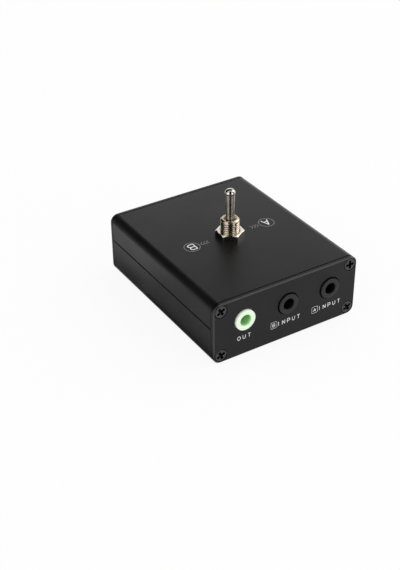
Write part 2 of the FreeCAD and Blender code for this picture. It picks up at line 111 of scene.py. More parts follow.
# The strokes of the letters in use, each letter in a square of side 1 about the origin
STROKES = {
    "O": [bowed((0, 0), (0.5, 0.5), 0, 360)[:-1]],
    "U": [[(-0.5, 0.5), *bowed((0, -0.08), (0.5, 0.42), 180, 360), (0.5, 0.5)]],
    "T": [[(-0.5, 0.5), (0.5, 0.5)], [(0, 0.5), (0, -0.5)]],
    "I": [[(0, 0.5), (0, -0.5)]],
    "N": [[(-0.5, -0.5), (-0.5, 0.5)], [(-0.5, 0.5), (0.5, -0.5)], [(0.5, -0.5), (0.5, 0.5)]],
    "P": [[(-0.5, -0.5), (-0.5, 0.5)],
          [(-0.5, 0.5), *bowed((0.12, 0.22), (0.38, 0.28), 90, -90), (-0.5, -0.06)]],
    "A": [[(-0.5, -0.5), (0, 0.5)], [(0, 0.5), (0.5, -0.5)], [(-0.33, -0.16), (0.33, -0.16)]],
    "B": [[(-0.5, -0.5), (-0.5, 0.5)],
          [(-0.5, 0.5), *bowed((0.08, 0.26), (0.34, 0.24), 90, -90), (-0.5, 0.02)],
          [(-0.5, 0.02), *bowed((0.12, -0.24), (0.38, 0.26), 90, -90), (-0.5, -0.5)]],
}


# Forms: meshes are drawn in millimetres and scaled to metres when they become pieces


def lofted(rows: Sequence[Sequence[Vector]], closed: bool = False) -> Form:
    """Skins rows of points into one closed form.

    Args:
        rows: Loops of points, all of one length, or a single point for a tip.
        closed: True joins the last row to the first; False caps both ends.

    Returns:
        The form, its faces turned outward.
    """
    form = bmesh.new()
    loops = [[form.verts.new(point) for point in row] for row in rows]
    pairs = list(zip(loops, loops[1:]))
    if closed:
        pairs.append((loops[-1], loops[0]))
    for low, high in pairs:
        for side in range(max(len(low), len(high))):
            corners = [low[side % len(low)], low[(side + 1) % len(low)],
                       high[(side + 1) % len(high)], high[side % len(high)]]
            form.faces.new(list(dict.fromkeys(corners)))
    for loop in (loops[0], loops[-1]):
        if len(loop) > 2 and not closed:
            form.faces.new(loop)
    bmesh.ops.recalc_face_normals(form, faces=form.faces)
    return form


def on_circle(radius: float, angle: float) -> Vector:
    """The point at an angle on a circle about the origin."""
    return Vector((radius * math.cos(angle), radius * math.sin(angle)))


def fixed(radius: float, height: float) -> Ring:
    """A ring that has one radius and one height all round."""
    return lambda angle: (radius, height)


def thread_ring(radius: float, depth: float, pitch: float, height: float, phase: float = 0.0) -> Ring:
    """A ring of a helical thread.

    Args:
        radius: The radius of the thread's crest.
        depth: How far its root lies under the crest.
        pitch: Its pitch.
        height: The ring's height.
        phase: How much further on the thread is, in turns.

    Returns:
        The ring.
    """
    def ring(angle: float) -> Point:
        """The thread's radius and height at an angle, with flat crests and roots and sloping flanks."""
        slope = abs(2 * ((height / pitch + phase - angle / math.tau) % 1.0) - 1)
        return radius - depth * min(1.0, max(0.0, 1.61 * slope - 0.31)), height

    return ring


def revolved(rings: Sequence[Ring], sides: int, closed: bool = False, start: float = 0.0) -> Form:
    """Skins rings about the Z axis into one form.

    Args:
        rings: Each gives its radius and height at an angle.
        sides: How many points each ring has.
        closed: True for a tube, whose last ring meets its first.
        start: The angle of each ring's first point, in radians.

    Returns:
        The turned form.
    """
    rows = []
    for ring in rings:
        row = []
        for side in range(sides):
            angle = start + math.tau * side / sides
            radius, height = ring(angle)
            row.append(Vector((*on_circle(radius, angle), height)))
        tip = max(point.xy.length for point in row) < TINY
        rows.append(row[:1] if tip else row)
    return lofted(rows, closed)


def rounding(before: Vector, corner: Vector, after: Vector, radius: float, steps: int) -> list[Vector]:
    """Replaces one corner of a flat outline with an arc.

    Args:
        before: The outline's point before the corner.
        corner: The corner.
        after: The point after it.
        radius: The arc's radius, made smaller where the sides are short.
        steps: The number of straight pieces in the arc.

    Returns:
        The arc's points, or the corner alone where there is nothing to round.
    """
    back, ahead = before - corner, after - corner
    if min(radius, back.length, ahead.length) < TINY:
        return [corner]
    half = back.angle(ahead) / 2
    if half > math.pi / 2 - 0.01 or half < 0.01:
        return [corner]
    run = min(radius / math.tan(half), 0.49 * back.length, 0.49 * ahead.length)
    reach = run * math.tan(half)
    back.normalize()
    ahead.normalize()
    centre = corner + (back + ahead).normalized() * (reach / math.sin(half))
    first, last = corner + back * run - centre, corner + ahead * run - centre
    start = math.atan2(first.y, first.x)
    sweep = (math.atan2(last.y, last.x) - start + math.pi) % math.tau - math.pi
    return [centre + on_circle(reach, start + sweep * step / steps) for step in range(steps + 1)]


def softened(outline: Sequence[Corner], steps: int = 4) -> list[Ring]:
    """Turns an outline with rounded corners into rings.

    Args:
        outline: Each corner's radius, height and rounding; the two ends stay sharp.
        steps: The number of straight pieces in each rounding.

    Returns:
        One ring for every point of the softened outline.
    """
    spots = [Vector((radius, height)) for radius, height, _ in outline]
    points = [spots[0]]
    for index in range(1, len(spots) - 1):
        points += rounding(*spots[index - 1:index + 2], outline[index][2], steps)
    return [fixed(point.x, point.y) for point in [*points, spots[-1]]]


def turned(outline: Sequence[Corner], sides: int, steps: int = 4) -> Form:
    """A form turned about Z from an outline, as softened takes it."""
    return revolved(softened(outline, steps), sides)


def bar(radius: float, reach: float) -> Form:
    """A plain round bar about Z, for cutting, that reaches as far down as up."""
    return turned([(0, -reach, 0), (radius, -reach, 0), (radius, reach, 0), (0, reach, 0)], 24)


def ball_corners(centre: float, reach: Point, start: float, stop: float, steps: int) -> list[Corner]:
    """Corners of an outline that follow a ball about the Z axis, as bowed does, with no rounding."""
    return [(max(x, 0.0), y, 0.0) for x, y in bowed((0, centre), reach, start, stop, steps)]


def block(low: Corner, high: Corner) -> Form:
    """A block between its lowest and its highest corner."""
    flat = ((low[0], low[1]), (high[0], low[1]), (high[0], high[1]), (low[0], high[1]))
    return lofted([[Vector((x, y, z)) for x, y in flat] for z in (low[2], high[2])])


def rounded_rectangle(half_width: float, half_height: float, radius: float, steps: int) -> list[Vector]:
    """The outline of a rounded rectangle about the origin.

    Args:
        half_width: Half its size along X.
        half_height: Half its size along Y.
        radius: Its corners' radius.
        steps: The number of straight pieces in each corner.

    Returns:
        Its points, anticlockwise.
    """
    points = []
    for quarter, (x, y) in enumerate(((1, 1), (-1, 1), (-1, -1), (1, -1))):
        centre = Vector((x * (half_width - radius), y * (half_height - radius)))
        angles = [math.pi / 2 * (quarter + step / steps) for step in range(steps + 1)]
        points += [centre + on_circle(radius, angle) for angle in angles]
    return points


def ribbon(points: Sequence[Vector], width: float, thickness: float, closed: bool) -> Form:
    """A flat strip that lies on the XY plane and follows a line, mitred at its knees.

    Args:
        points: The line's points.
        width: The strip's width.
        thickness: Its height above the plane.
        closed: True where the line's end meets its start.

    Returns:
        The strip.
    """
    rows = []
    for index, point in enumerate(points):
        before = point - points[index - 1]
        after = points[(index + 1) % len(points)] - point
        if not closed and index == 0:
            before = after
        if not closed and index == len(points) - 1:
            after = before
        before, after = before.normalized(), after.normalized()
        along = before + after
        mitre = Vector((-along.y, along.x)) * (width / 2 / (1 + before.dot(after)))
        left, right = point + mitre, point - mitre
        edges = ((left, 0), (right, 0), (right, thickness), (left, thickness))
        rows.append([Vector((*edge, height)) for edge, height in edges])
    return lofted(rows, closed)


def moved(form: Form, matrix: Matrix) -> Form:
    """Moves a form and hands it back."""
    bmesh.ops.transform(form, matrix=matrix, verts=form.verts)
    return form


def laid(form: Form, place: Corner, end: End = End.FRONT, turn: float = 0.0) -> Form:
    """Lays a form made about Z along Y, to look out of an end, turned in degrees about its own axis."""
    lay = Matrix.Rotation(math.radians(-90 * end.value), 4, "X") @ Matrix.Rotation(math.radians(turn), 4, "Z")
    return moved(form, Matrix.Translation(place) @ lay)


def mesh_of(name: str, form: Form) -> bpy.types.Mesh:
    """Turns a form into a mesh.

    Args:
        name: The mesh's name.
        form: The form, which is used up.

    Returns:
        The mesh.
    """
    mesh = bpy.data.meshes.new(name)
    form.to_mesh(mesh)
    form.free()
    return mesh


def placed(name: str, data: bpy.types.ID) -> bpy.types.Object:
    """Puts a mesh, lamp or camera in the scene.

    Args:
        name: The object's name.
        data: What it shows.

    Returns:
        The object.
    """
    thing = bpy.data.objects.new(name, data)
    bpy.context.scene.collection.objects.link(thing)
    return thing


def carved(form: Form, cuts: Sequence[Form], joins: Sequence[Form] = ()) -> Form:
    """Joins and cuts a form with exact booleans.

    Args:
        form: The form to start from; all the forms are used up.
        cuts: What is cut away, last.
        joins: What is joined on, first.

    Returns:
        The carved form.
    """
    thing = placed("loose", mesh_of("loose", form))
    for operation, tool in [("UNION", join) for join in joins] + [("DIFFERENCE", cut) for cut in cuts]:
        tool = placed("loose", mesh_of("loose", tool))
        modifier = thing.modifiers.new("carve", "BOOLEAN")
        modifier.operation, modifier.solver, modifier.object = operation, "EXACT", tool
        graph = bpy.context.evaluated_depsgraph_get()
        mesh = bpy.data.meshes.new_from_object(thing.evaluated_get(graph))
        thing.modifiers.clear()
        spent, thing.data = thing.data, mesh
        bpy.data.meshes.remove(spent)
        bpy.data.meshes.remove(tool.data)
    whole = bmesh.new()
    whole.from_mesh(thing.data)
    bpy.data.meshes.remove(thing.data)
    bmesh.ops.dissolve_degenerate(whole, dist=1e-5, edges=whole.edges)
    return whole


# Shading


class Sheet:
    """Places and wires the nodes of one shader tree."""

    def __init__(self, tree: bpy.types.NodeTree) -> None:
        """Works on one tree, and on its Principled shader where it has one."""
        self.tree = tree
        self.shader = next((node for node in tree.nodes if node.type == "BSDF_PRINCIPLED"), None)

    def add(self, kind: str, inputs: dict | None = None, **settings: object) -> bpy.types.Node:
        """Adds a shader node.

        Args:
            kind: The node's type without its "ShaderNode".
            inputs: What goes into its sockets, a value or another node's output.
            settings: Its own settings.

        Returns:
            The node.
        """
        node = self.tree.nodes.new(f"ShaderNode{kind}")
        for name, value in settings.items():
            setattr(node, name, value)
        for key, value in (inputs or {}).items():
            self.feed(node.inputs[key], value)
        return node

    def feed(self, socket: Socket, value: object) -> None:
        """Links an output to a socket, or sets the socket's value.

        Args:
            socket: The socket.
            value: The output or the value.
        """
        if isinstance(value, Socket):
            self.tree.links.new(value, socket)
        else:
            socket.default_value = value

    def shade(self, name: str, value: object) -> None:
        """Feeds one socket of the Principled shader."""
        self.feed(self.shader.inputs[name], value)

    def reckon(self, operation: str, *values: object) -> Socket:
        """Does arithmetic on values or outputs."""
        return self.add("Math", dict(enumerate(values)), operation=operation).outputs[0]

    def product(self, first: object, second: object) -> Socket:
        """Multiplies two values or outputs."""
        return self.reckon("MULTIPLY", first, second)

    def spread(self, value: object, low: float, high: float, to_low: object = 0.0,
               to_high: object = 1.0) -> Socket:
        """Maps a range of values to another, held at its ends.

        Args:
            value: The output to map.
            low: The value that becomes to_low.
            high: The value that becomes to_high.
            to_low: The first end of the new range.
            to_high: The second end.

        Returns:
            The mapped output.
        """
        inputs = {"Value": value, "From Min": low, "From Max": high, "To Min": to_low, "To Max": to_high}
        return self.add("MapRange", inputs).outputs["Result"]

    def blend(self, share: object, first: object, second: object) -> Socket:
        """Mixes two colours, each a colour or an output.

        Args:
            share: The output that says how much of the second there is.
            first: The colour where it is 0.
            second: The colour where it is 1.

        Returns:
            The mixed colour.
        """
        node = self.add("Mix", data_type="RGBA")
        for socket, value in zip((node.inputs[0], node.inputs[6], node.inputs[7]), (share, first, second)):
            self.feed(socket, (*value, 1.0) if isinstance(value, tuple) else value)
        return node.outputs[2]

    def noise(self, place: object, scale: object, detail: float = 2.0) -> Socket:
        """Soft noise, a value from 0 to 1, at a scale in turns to the metre."""
        return self.add("TexNoise", {"Vector": place, "Scale": scale, "Detail": detail}).outputs["Fac"]

    def place(self) -> Socket:
        """The point on the piece, in metres."""
        return self.add("TexCoord").outputs["Object"]

    def along(self, axis: str) -> Socket:
        """How far along an axis the point on the piece is, in metres."""
        return self.add("SeparateXYZ", {0: self.place()}).outputs[axis]

    def facing(self, axis: str) -> Socket:
        """How far the surface faces along an axis, from -1 to 1."""
        return self.add("SeparateXYZ", {0: self.add("NewGeometry").outputs["Normal"]}).outputs[axis]

    def joined(self, **parts: object) -> Socket:
        """A vector from its X, Y and Z."""
        return self.add("CombineXYZ", parts).outputs[0]

    def length(self, vector: Socket) -> Socket:
        """The length of a vector."""
        return self.add("VectorMath", {0: vector}, operation="LENGTH").outputs["Value"]

    def effect(self, effect: Effect, **values: float) -> bpy.types.bpy_prop_collection:
        """Places a shared effect.

        Args:
            effect: The effect.
            values: Its inputs' values.

        Returns:
            Its outputs.
        """
        node = self.add("Group", node_tree=EffectShelf.group(effect))
        for name, value in values.items():
            node.inputs[name.replace("_", " ").title()].default_value = value
        return node.outputs


class EffectShelf:
    """Builds each shared effect once, as a group of shader nodes; each method gives its outputs by name."""

    @classmethod
    def group(cls, effect: Effect) -> bpy.types.NodeTree:
        """The effect's group, built the first time it is asked for.

        Args:
            effect: The effect.

        Returns:
            Its group.
        """
        name = effect.name.lower()
        if name in bpy.data.node_groups:
            return bpy.data.node_groups[name]
        tree = bpy.data.node_groups.new(name, "ShaderNodeTree")
        for label in effect.value:
            tree.interface.new_socket(label, in_out="INPUT", socket_type="NodeSocketFloat")
        entry, sheet = tree.nodes.new("NodeGroupInput"), Sheet(tree)
        made = getattr(cls, name)(sheet, *(entry.outputs[label] for label in effect.value))
        for label in made:
            tree.interface.new_socket(label, in_out="OUTPUT", socket_type="NodeSocketFloat")
        leave = tree.nodes.new("NodeGroupOutput")
        for label, value in made.items():
            sheet.feed(leave.inputs[label], value)
        return tree

    @staticmethod
    def blasted_grain(sheet: Sheet, grain_scale: Socket, cloud_scale: Socket) -> dict[str, Socket]:
        """The fine pitted grain that beads leave, and the faint cloudiness under it.

        Args:
            sheet: The tree to draw on.
            grain_scale: How fine the grain is.
            cloud_scale: How fine the cloudiness is.

        Returns:
            Both, from 0 to 1.
        """
        place = sheet.place()
        pits = sheet.add("TexVoronoi", {"Vector": place, "Scale": grain_scale}, feature="SMOOTH_F1")
        grain = sheet.product(pits.outputs["Distance"], sheet.noise(place, grain_scale, 3.0))
        return {"Grain": grain, "Cloud": sheet.spread(sheet.noise(place, cloud_scale, 4.0), 0.3, 0.7)}

    @staticmethod
    def worn_edges(sheet: Sheet, reach: Socket, patch_scale: Socket) -> dict[str, Socket]:
        """Where corners have been rubbed, broken up by noise.

        Args:
            sheet: The tree to draw on.
            reach: How far from a corner the wear goes.
            patch_scale: How fine its patches are.

        Returns:
            The mask of the wear.
        """
        rounded = sheet.add("Bevel", {"Radius": reach}, samples=6).outputs["Normal"]
        true = sheet.add("NewGeometry").outputs["Normal"]
        turn = sheet.add("VectorMath", {0: rounded, 1: true}, operation="DOT_PRODUCT").outputs["Value"]
        patch = sheet.spread(sheet.noise(sheet.place(), patch_scale, 3.0), 0.35, 0.65, 0.15)
        return {"Mask": sheet.product(sheet.spread(turn, 0.995, 0.8), patch)}

    @staticmethod
    def settled_dust(sheet: Sheet, speck_scale: Socket, cover: Socket) -> dict[str, Socket]:
        """Fine specks that lie on what faces up.

        Args:
            sheet: The tree to draw on.
            speck_scale: How fine the specks are.
            cover: The share of the surface that has them.

        Returns:
            The mask of the specks.
        """
        cell = sheet.add("TexVoronoi", {"Vector": sheet.place(), "Scale": speck_scale}).outputs
        chance = sheet.add("SeparateColor", {0: cell["Color"]}).outputs[0]
        chosen, dot = sheet.reckon("LESS_THAN", chance, cover), sheet.spread(cell["Distance"], 0.3, 0.12)
        return {"Mask": sheet.product(sheet.product(chosen, dot), sheet.spread(sheet.facing("Z"), 0.3, 0.9))}

    @staticmethod
    def turning_lines(sheet: Sheet, line_scale: Socket) -> dict[str, Socket]:
        """Fine rings about the Z axis, as a lathe leaves them."""
        radius = sheet.length(sheet.joined(X=sheet.along("X"), Y=sheet.along("Y")))
        rung = sheet.joined(X=sheet.reckon("ADD", radius, sheet.along("Z")))
        return {"Lines": sheet.noise(rung, line_scale)}

    @staticmethod
    def broken_edges(sheet: Sheet, least: Socket, most: Socket) -> dict[str, Socket]:
        """The narrow faces that break the edges of an end, told by how far they lean from the Y axis, which
        the anodised finishes paint lighter as a painted highlight.

        Args:
            sheet: The tree to draw on.
            least: The least that they face along Y.
            most: The most.

        Returns:
            The mask of those faces.
        """
        facing = sheet.reckon("ABSOLUTE", sheet.facing("Y"))
        above, below = sheet.reckon("GREATER_THAN", facing, least), sheet.reckon("LESS_THAN", facing, most)
        return {"Mask": sheet.product(above, below)}

    @staticmethod
    def nozzle_skirt(sheet: Sheet, face: Socket, hole: Socket) -> dict[str, Socket]:
        """The outer walls of the three nozzles behind their faces, which the moulded finishes paint with
        painted light and painted shade.

        Args:
            sheet: The tree to draw on.
            face: Where along Y the walls start.
            hole: How far from its axis a nozzle's wall starts.

        Returns:
            The mask of the walls.
        """
        rise = sheet.reckon("SUBTRACT", sheet.along("Z"), JACK_HEIGHT * MM)
        across = [sheet.reckon("SUBTRACT", sheet.along("X"), place * MM) for place in JACK_PLACES.values()]
        first, second, third = (sheet.length(sheet.joined(X=offset, Z=rise)) for offset in across)
        nearest = sheet.reckon("MINIMUM", sheet.reckon("MINIMUM", first, second), third)
        behind = sheet.reckon("GREATER_THAN", sheet.along("Y"), face)
        return {"Mask": sheet.product(behind, sheet.reckon("GREATER_THAN", nearest, hole))}

    @staticmethod
    def handling_marks(sheet: Sheet, smear_scale: Socket) -> dict[str, Socket]:
        """Soft smears where fingers have been.

        Args:
            sheet: The tree to draw on.
            smear_scale: How fine the smears are.

        Returns:
            The mask of the smears.
        """
        place = sheet.place()
        warp = sheet.noise(place, smear_scale, 3.0)
        shift = sheet.joined(X=sheet.product(warp, 0.01), Y=sheet.product(warp, 0.006))
        bent = sheet.add("VectorMath", {0: place, 1: shift}).outputs[0]
        return {"Mask": sheet.spread(sheet.noise(bent, smear_scale), 0.42, 0.66)}


def painted(name: str) -> tuple[bpy.types.Material, Sheet]:
    """Starts a material.

    Args:
        name: The material's name.

    Returns:
        The material and the sheet of its tree.
    """
    paint = bpy.data.materials.new(name)
    paint.use_nodes = True
    return paint, Sheet(paint.node_tree)


def tinted(colour: Colour, share: float, lift: float = 0.0) -> Colour:
    """A colour made darker or paler."""
    return tuple(min(1.0, share * part + lift) for part in colour)


@dataclass(frozen=True)
class Finish(ABC):
    """One finish of the object; colours are linear."""

    name: str
    colour: Colour
    roughness: float

    def material(self) -> bpy.types.Material:
        """The finish's material, built the first time it is asked for.

        Returns:
            The material.
        """
        label = f"{self.name}_finish"
        if label in bpy.data.materials:
            return bpy.data.materials[label]
        paint, sheet = painted(label)
        paint.diffuse_color = (*self.colour, 1.0)
        self.wire(sheet)
        return paint

    @abstractmethod
    def wire(self, sheet: Sheet) -> None:
        """Wires the finish into the Principled shader of its sheet."""

    def smeared(self, sheet: Sheet, scale: float, change: float) -> Socket:
        """The roughness, changed by some amount where fingers have been."""
        marks = sheet.effect(Effect.HANDLING_MARKS, smear_scale=scale)["Mask"]
        return sheet.spread(marks, 0.0, 1.0, self.roughness, self.roughness + change)

    @staticmethod
    def dusted(sheet: Sheet, colour: object, cover: float, dust: Colour) -> Socket:
        """A colour under specks of dust."""
        specks = sheet.effect(Effect.SETTLED_DUST, speck_scale=1500.0, cover=cover)["Mask"]
        return sheet.blend(sheet.product(specks, 0.3), colour, dust)

    @staticmethod
    def bump(sheet: Sheet, height: object, depth: float) -> None:
        """Raises the surface by a height from 0 to 1 times a depth in metres."""
        raised = sheet.add("Bump", {"Height": height, "Distance": depth, "Strength": 1.0})
        sheet.shade("Normal", raised.outputs["Normal"])


@dataclass(frozen=True)
class BlastedAnodise(Finish):
    """Bead-blasted metal under a dyed layer."""

    worn: Colour = (0.05, 0.05, 0.052)
    # The colour of the painted highlight on the end chamfers
    edge: Colour = (0.088, 0.088, 0.09)
    metallic: float = 0.85
    grain_scale: float = 6500.0
    grain_depth: float = 3e-6
    edge_reach: float = 1.4e-4
    # How near the middle along Y, in metres, recesses start to be painted black as painted shade; 0 for none
    painted_shade_within: float = 0.0

    def wire(self, sheet: Sheet) -> None:
        """Wires the finish; everything nearer the middle along Y than the set depth, which on a screw is the
        deep part of its recess, is painted black as painted shade.

        Args:
            sheet: The tree to draw on.
        """
        grain = sheet.effect(Effect.BLASTED_GRAIN, grain_scale=self.grain_scale, cloud_scale=150.0)
        wear = sheet.effect(Effect.WORN_EDGES, reach=self.edge_reach, patch_scale=700.0)["Mask"]
        broken = sheet.effect(Effect.BROKEN_EDGES, least=0.5, most=0.88)["Mask"]
        colour = sheet.blend(grain["Cloud"], tinted(self.colour, 0.9), self.colour)
        colour = sheet.blend(sheet.product(wear, 0.5), colour, self.worn)
        # Painted highlight: the end chamfers are painted in the edge colour.
        colour = sheet.blend(broken, colour, self.edge)
        colour = self.dusted(sheet, colour, 0.002, (0.12, 0.12, 0.115))
        # Painted shade: what lies deep in a recess is painted black.
        if self.painted_shade_within:
            behind = sheet.reckon("ABSOLUTE", sheet.along("Y"))
            depth = sheet.spread(behind, self.painted_shade_within + 1e-4, self.painted_shade_within - 1e-4)
            colour = sheet.blend(depth, colour, (0.004, 0.004, 0.004))
        sheet.shade("Base Color", colour)
        sheet.shade("Roughness", self.smeared(sheet, 70.0, -0.04))
        sheet.shade("Metallic", self.metallic)
        self.bump(sheet, grain["Grain"], self.grain_depth)


@dataclass(frozen=True)
class Plating(Finish):
    """Bright or satin metal, with its base showing a little through the plate."""

    base: Colour = (0.55, 0.36, 0.15)
    base_share: float = 0.3
    lines: float = 2.5e-7
    line_scale: float = 9000.0
    stretch: float = 0.0
    polished_from: float = 1.0
    polish: float = 0.12

    def wire(self, sheet: Sheet) -> None:
        """Wires the finish; above polished_from, in metres, it is polished.

        Args:
            sheet: The tree to draw on.
        """
        turning = sheet.effect(Effect.TURNING_LINES, line_scale=self.line_scale)["Lines"]
        cloud = sheet.effect(Effect.BLASTED_GRAIN, grain_scale=4000.0, cloud_scale=420.0)["Cloud"]
        wear = sheet.effect(Effect.WORN_EDGES, reach=9e-5, patch_scale=1500.0)["Mask"]
        clouded, rubbed = sheet.product(cloud, self.base_share * 0.6), sheet.product(wear, self.base_share)
        tint = sheet.reckon("MAXIMUM", clouded, rubbed)
        sheet.shade("Base Color", sheet.blend(tint, self.colour, self.base))
        rough = self.smeared(sheet, 260.0, 0.08)
        if self.polished_from < 1.0:
            start = self.polished_from - 2e-4
            rough = sheet.spread(sheet.along("Z"), start, self.polished_from, rough, self.polish)
        sheet.shade("Roughness", rough)
        sheet.shade("Metallic", 1.0)
        if self.stretch:
            sheet.shade("Anisotropic", self.stretch)
            sheet.shade("Anisotropic Rotation", 0.25)
            round_the_axis = sheet.add("Tangent", direction_type="RADIAL", axis="Z")
            sheet.shade("Tangent", round_the_axis.outputs["Tangent"])
        self.bump(sheet, turning, self.lines)


@dataclass(frozen=True)
class Moulding(Finish):
    """Moulded plastic, with a faint orange-peel skin."""

    specular: float = 0.5
    glow: float = 0.0
    # The colour painted in a jack's bore as painted shade
    inner: Colour | None = None
    # The colour painted on a nozzle's outer wall: lighter for a painted highlight, darker for painted shade
    skirt: Colour | None = None

    def wire(self, sheet: Sheet) -> None:
        """Wires the finish; a jack's bore is painted in its inner colour as painted shade, and its nozzle's
        outer wall in its skirt colour as painted light and shade.

        Args:
            sheet: The tree to draw on.
        """
        grain = sheet.effect(Effect.BLASTED_GRAIN, grain_scale=2600.0, cloud_scale=300.0)
        wear = sheet.effect(Effect.WORN_EDGES, reach=1.2e-4, patch_scale=1100.0)["Mask"]
        colour = sheet.blend(grain["Cloud"], tinted(self.colour, 0.93), self.colour)
        colour = sheet.blend(sheet.product(wear, 0.6), colour, tinted(self.colour, 1.05, 0.01))
        if self.inner and self.skirt:
            # Painted shade: everything behind the nozzle's face, which shows in the bore, is painted in the
            # inner colour.
            colour = sheet.blend(sheet.spread(sheet.along("Y"), -0.03045, -0.0295), colour, self.inner)
            # Painted light and shade: the nozzle's outer wall is painted in the skirt colour.
            skirt = sheet.effect(Effect.NOZZLE_SKIRT, face=-0.0303, hole=0.0027)["Mask"]
            colour = sheet.blend(skirt, colour, self.skirt)
        sheet.shade("Base Color", self.dusted(sheet, colour, 0.003, (0.3, 0.3, 0.29)))
        sheet.shade("Roughness", self.smeared(sheet, 200.0, 0.07))
        sheet.shade("Specular IOR Level", self.specular)
        sheet.shade("Subsurface Weight", self.glow)
        sheet.shade("Subsurface Scale", 0.0006)
        self.bump(sheet, grain["Grain"], 2.5e-6)


@dataclass(frozen=True)
class MaskedBoard(Finish):
    """Solder mask over a woven glass laminate."""

    thread: float = 0.0011

    def wire(self, sheet: Sheet) -> None:
        """Wires the finish, which shows the weave through the mask.

        Args:
            sheet: The tree to draw on.
        """
        inputs = {"Vector": sheet.place(), "Scale": math.tau / 20 / self.thread}
        waves = [sheet.add("TexWave", inputs, bands_direction=axis) for axis in ("X", "Y")]
        weave = sheet.product(*(wave.outputs["Fac"] for wave in waves))
        sheet.shade("Base Color", sheet.blend(weave, self.colour, tinted(self.colour, 1.35)))
        sheet.shade("Roughness", self.smeared(sheet, 150.0, 0.1))
        self.bump(sheet, weave, 6e-6)


@dataclass(frozen=True)
class ScreenInk(Finish):
    """Screen-printed ink, a little thin in places."""

    under: Colour = (0.05, 0.05, 0.05)
    thin: float = 0.3

    def wire(self, sheet: Sheet) -> None:
        """Wires the finish, which lets what is under it show through.

        Args:
            sheet: The tree to draw on.
        """
        grain = sheet.effect(Effect.BLASTED_GRAIN, grain_scale=6500.0, cloud_scale=1600.0)
        share = sheet.product(grain["Cloud"], self.thin)
        sheet.shade("Base Color", sheet.blend(share, self.colour, self.under))
        sheet.shade("Roughness", self.smeared(sheet, 300.0, 0.1))
        self.bump(sheet, grain["Grain"], 3e-6)


FINISHES = {finish.name: finish for finish in (
    # Both anodised finishes paint their end chamfers in the edge colour as a painted highlight.
    BlastedAnodise("black_anodised_aluminium", (0.023, 0.023, 0.0237), 0.4),
    # The screws' deep recesses are painted black as painted shade.
    BlastedAnodise("blackened_steel", (0.07, 0.07, 0.072), 0.3, worn=(0.3, 0.3, 0.3),
                   edge=(0.16, 0.16, 0.16), metallic=0.9, grain_scale=9000.0, grain_depth=1.5e-6,
                   edge_reach=2.2e-4, painted_shade_within=0.0297),
    MaskedBoard("board_laminate", (0.03, 0.2, 0.08), 0.35),
    Plating("solder", (0.7, 0.7, 0.72), 0.3, base=(0.5, 0.5, 0.52), lines=4e-6, line_scale=2500.0),
    Plating("nickel_plated_brass", (0.76, 0.72, 0.66), 0.13),
    Plating("tinned_steel", (0.68, 0.68, 0.66), 0.35, base=(0.45, 0.44, 0.42), lines=1.5e-6),
    Moulding("blue_moulding", (0.03, 0.12, 0.42), 0.5),
    Plating("silvered_brass", (0.78, 0.76, 0.7), 0.26, base=(0.6, 0.42, 0.2), base_share=0.25),
    Plating("spring_steel", (0.6, 0.6, 0.6), 0.24, base=(0.35, 0.34, 0.33)),
    Moulding("white_nylon", (0.85, 0.84, 0.8), 0.45, glow=0.2),
    # The bores' inner colours, a deeper green and black, are painted shade.
    Moulding("lime_green_plastic", (0.84, 0.98, 0.79), 0.34, inner=(0.36, 0.74, 0.27),
             skirt=(0.94, 1.0, 0.89)),
    # The skirt colours are painted light: a painted highlight on the lime wall and painted shade on the black
    # one.
    Moulding("black_plastic", (0.014, 0.014, 0.0145), 0.34, specular=0.27, inner=(0.003, 0.003, 0.003),
             skirt=(0.003, 0.003, 0.003)),
)}
TURNED_NICKEL = Plating("turned_nickel", (0.53, 0.51, 0.47), 0.26, stretch=0.95, polished_from=0.0341)
THREADED_NICKEL = Plating("threaded_nickel", (0.56, 0.5, 0.41), 0.17, base_share=0.5)
INK = ScreenInk("bright_print", (0.93, 0.93, 0.92), 0.5, thin=0.1)
FAINT_INK = ScreenInk("faint_print", (0.34, 0.34, 0.34), 0.6, thin=0.3)


# Pieces: each sub-assembly builds its own


def as_piece(name: str, form: Form, finish: Finish, body: Body, nodes: Sequence[str] = (),
             crease: float = 32.0) -> bpy.types.Object:
    """Turns a form in millimetres into a piece of the object.

    Args:
        name: The piece's name.
        form: Its form, which is used up.
        finish: Its finish.
        body: The body that it rides on.
        nodes: The CAD nodes that it stands for.
        crease: The angle in degrees past which an edge is drawn sharp.

    Returns:
        The piece.
    """
    bmesh.ops.recalc_face_normals(form, faces=form.faces)
    mesh = mesh_of(name, form)
    mesh.transform(Matrix.Scale(MM, 4))
    mesh.shade_smooth()
    mesh.set_sharp_from_angle(angle=math.radians(crease))
    mesh.materials.append(finish.material())
    piece = placed(name, mesh)
    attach(piece, body.value)
    if nodes:
        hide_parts(*nodes)
    return piece


def weld_points(node: bpy.types.Object) -> None:
    """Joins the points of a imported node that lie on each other, which drops its faces with no area."""
    node.modifiers.new("joined_points", "WELD").merge_threshold = TINY


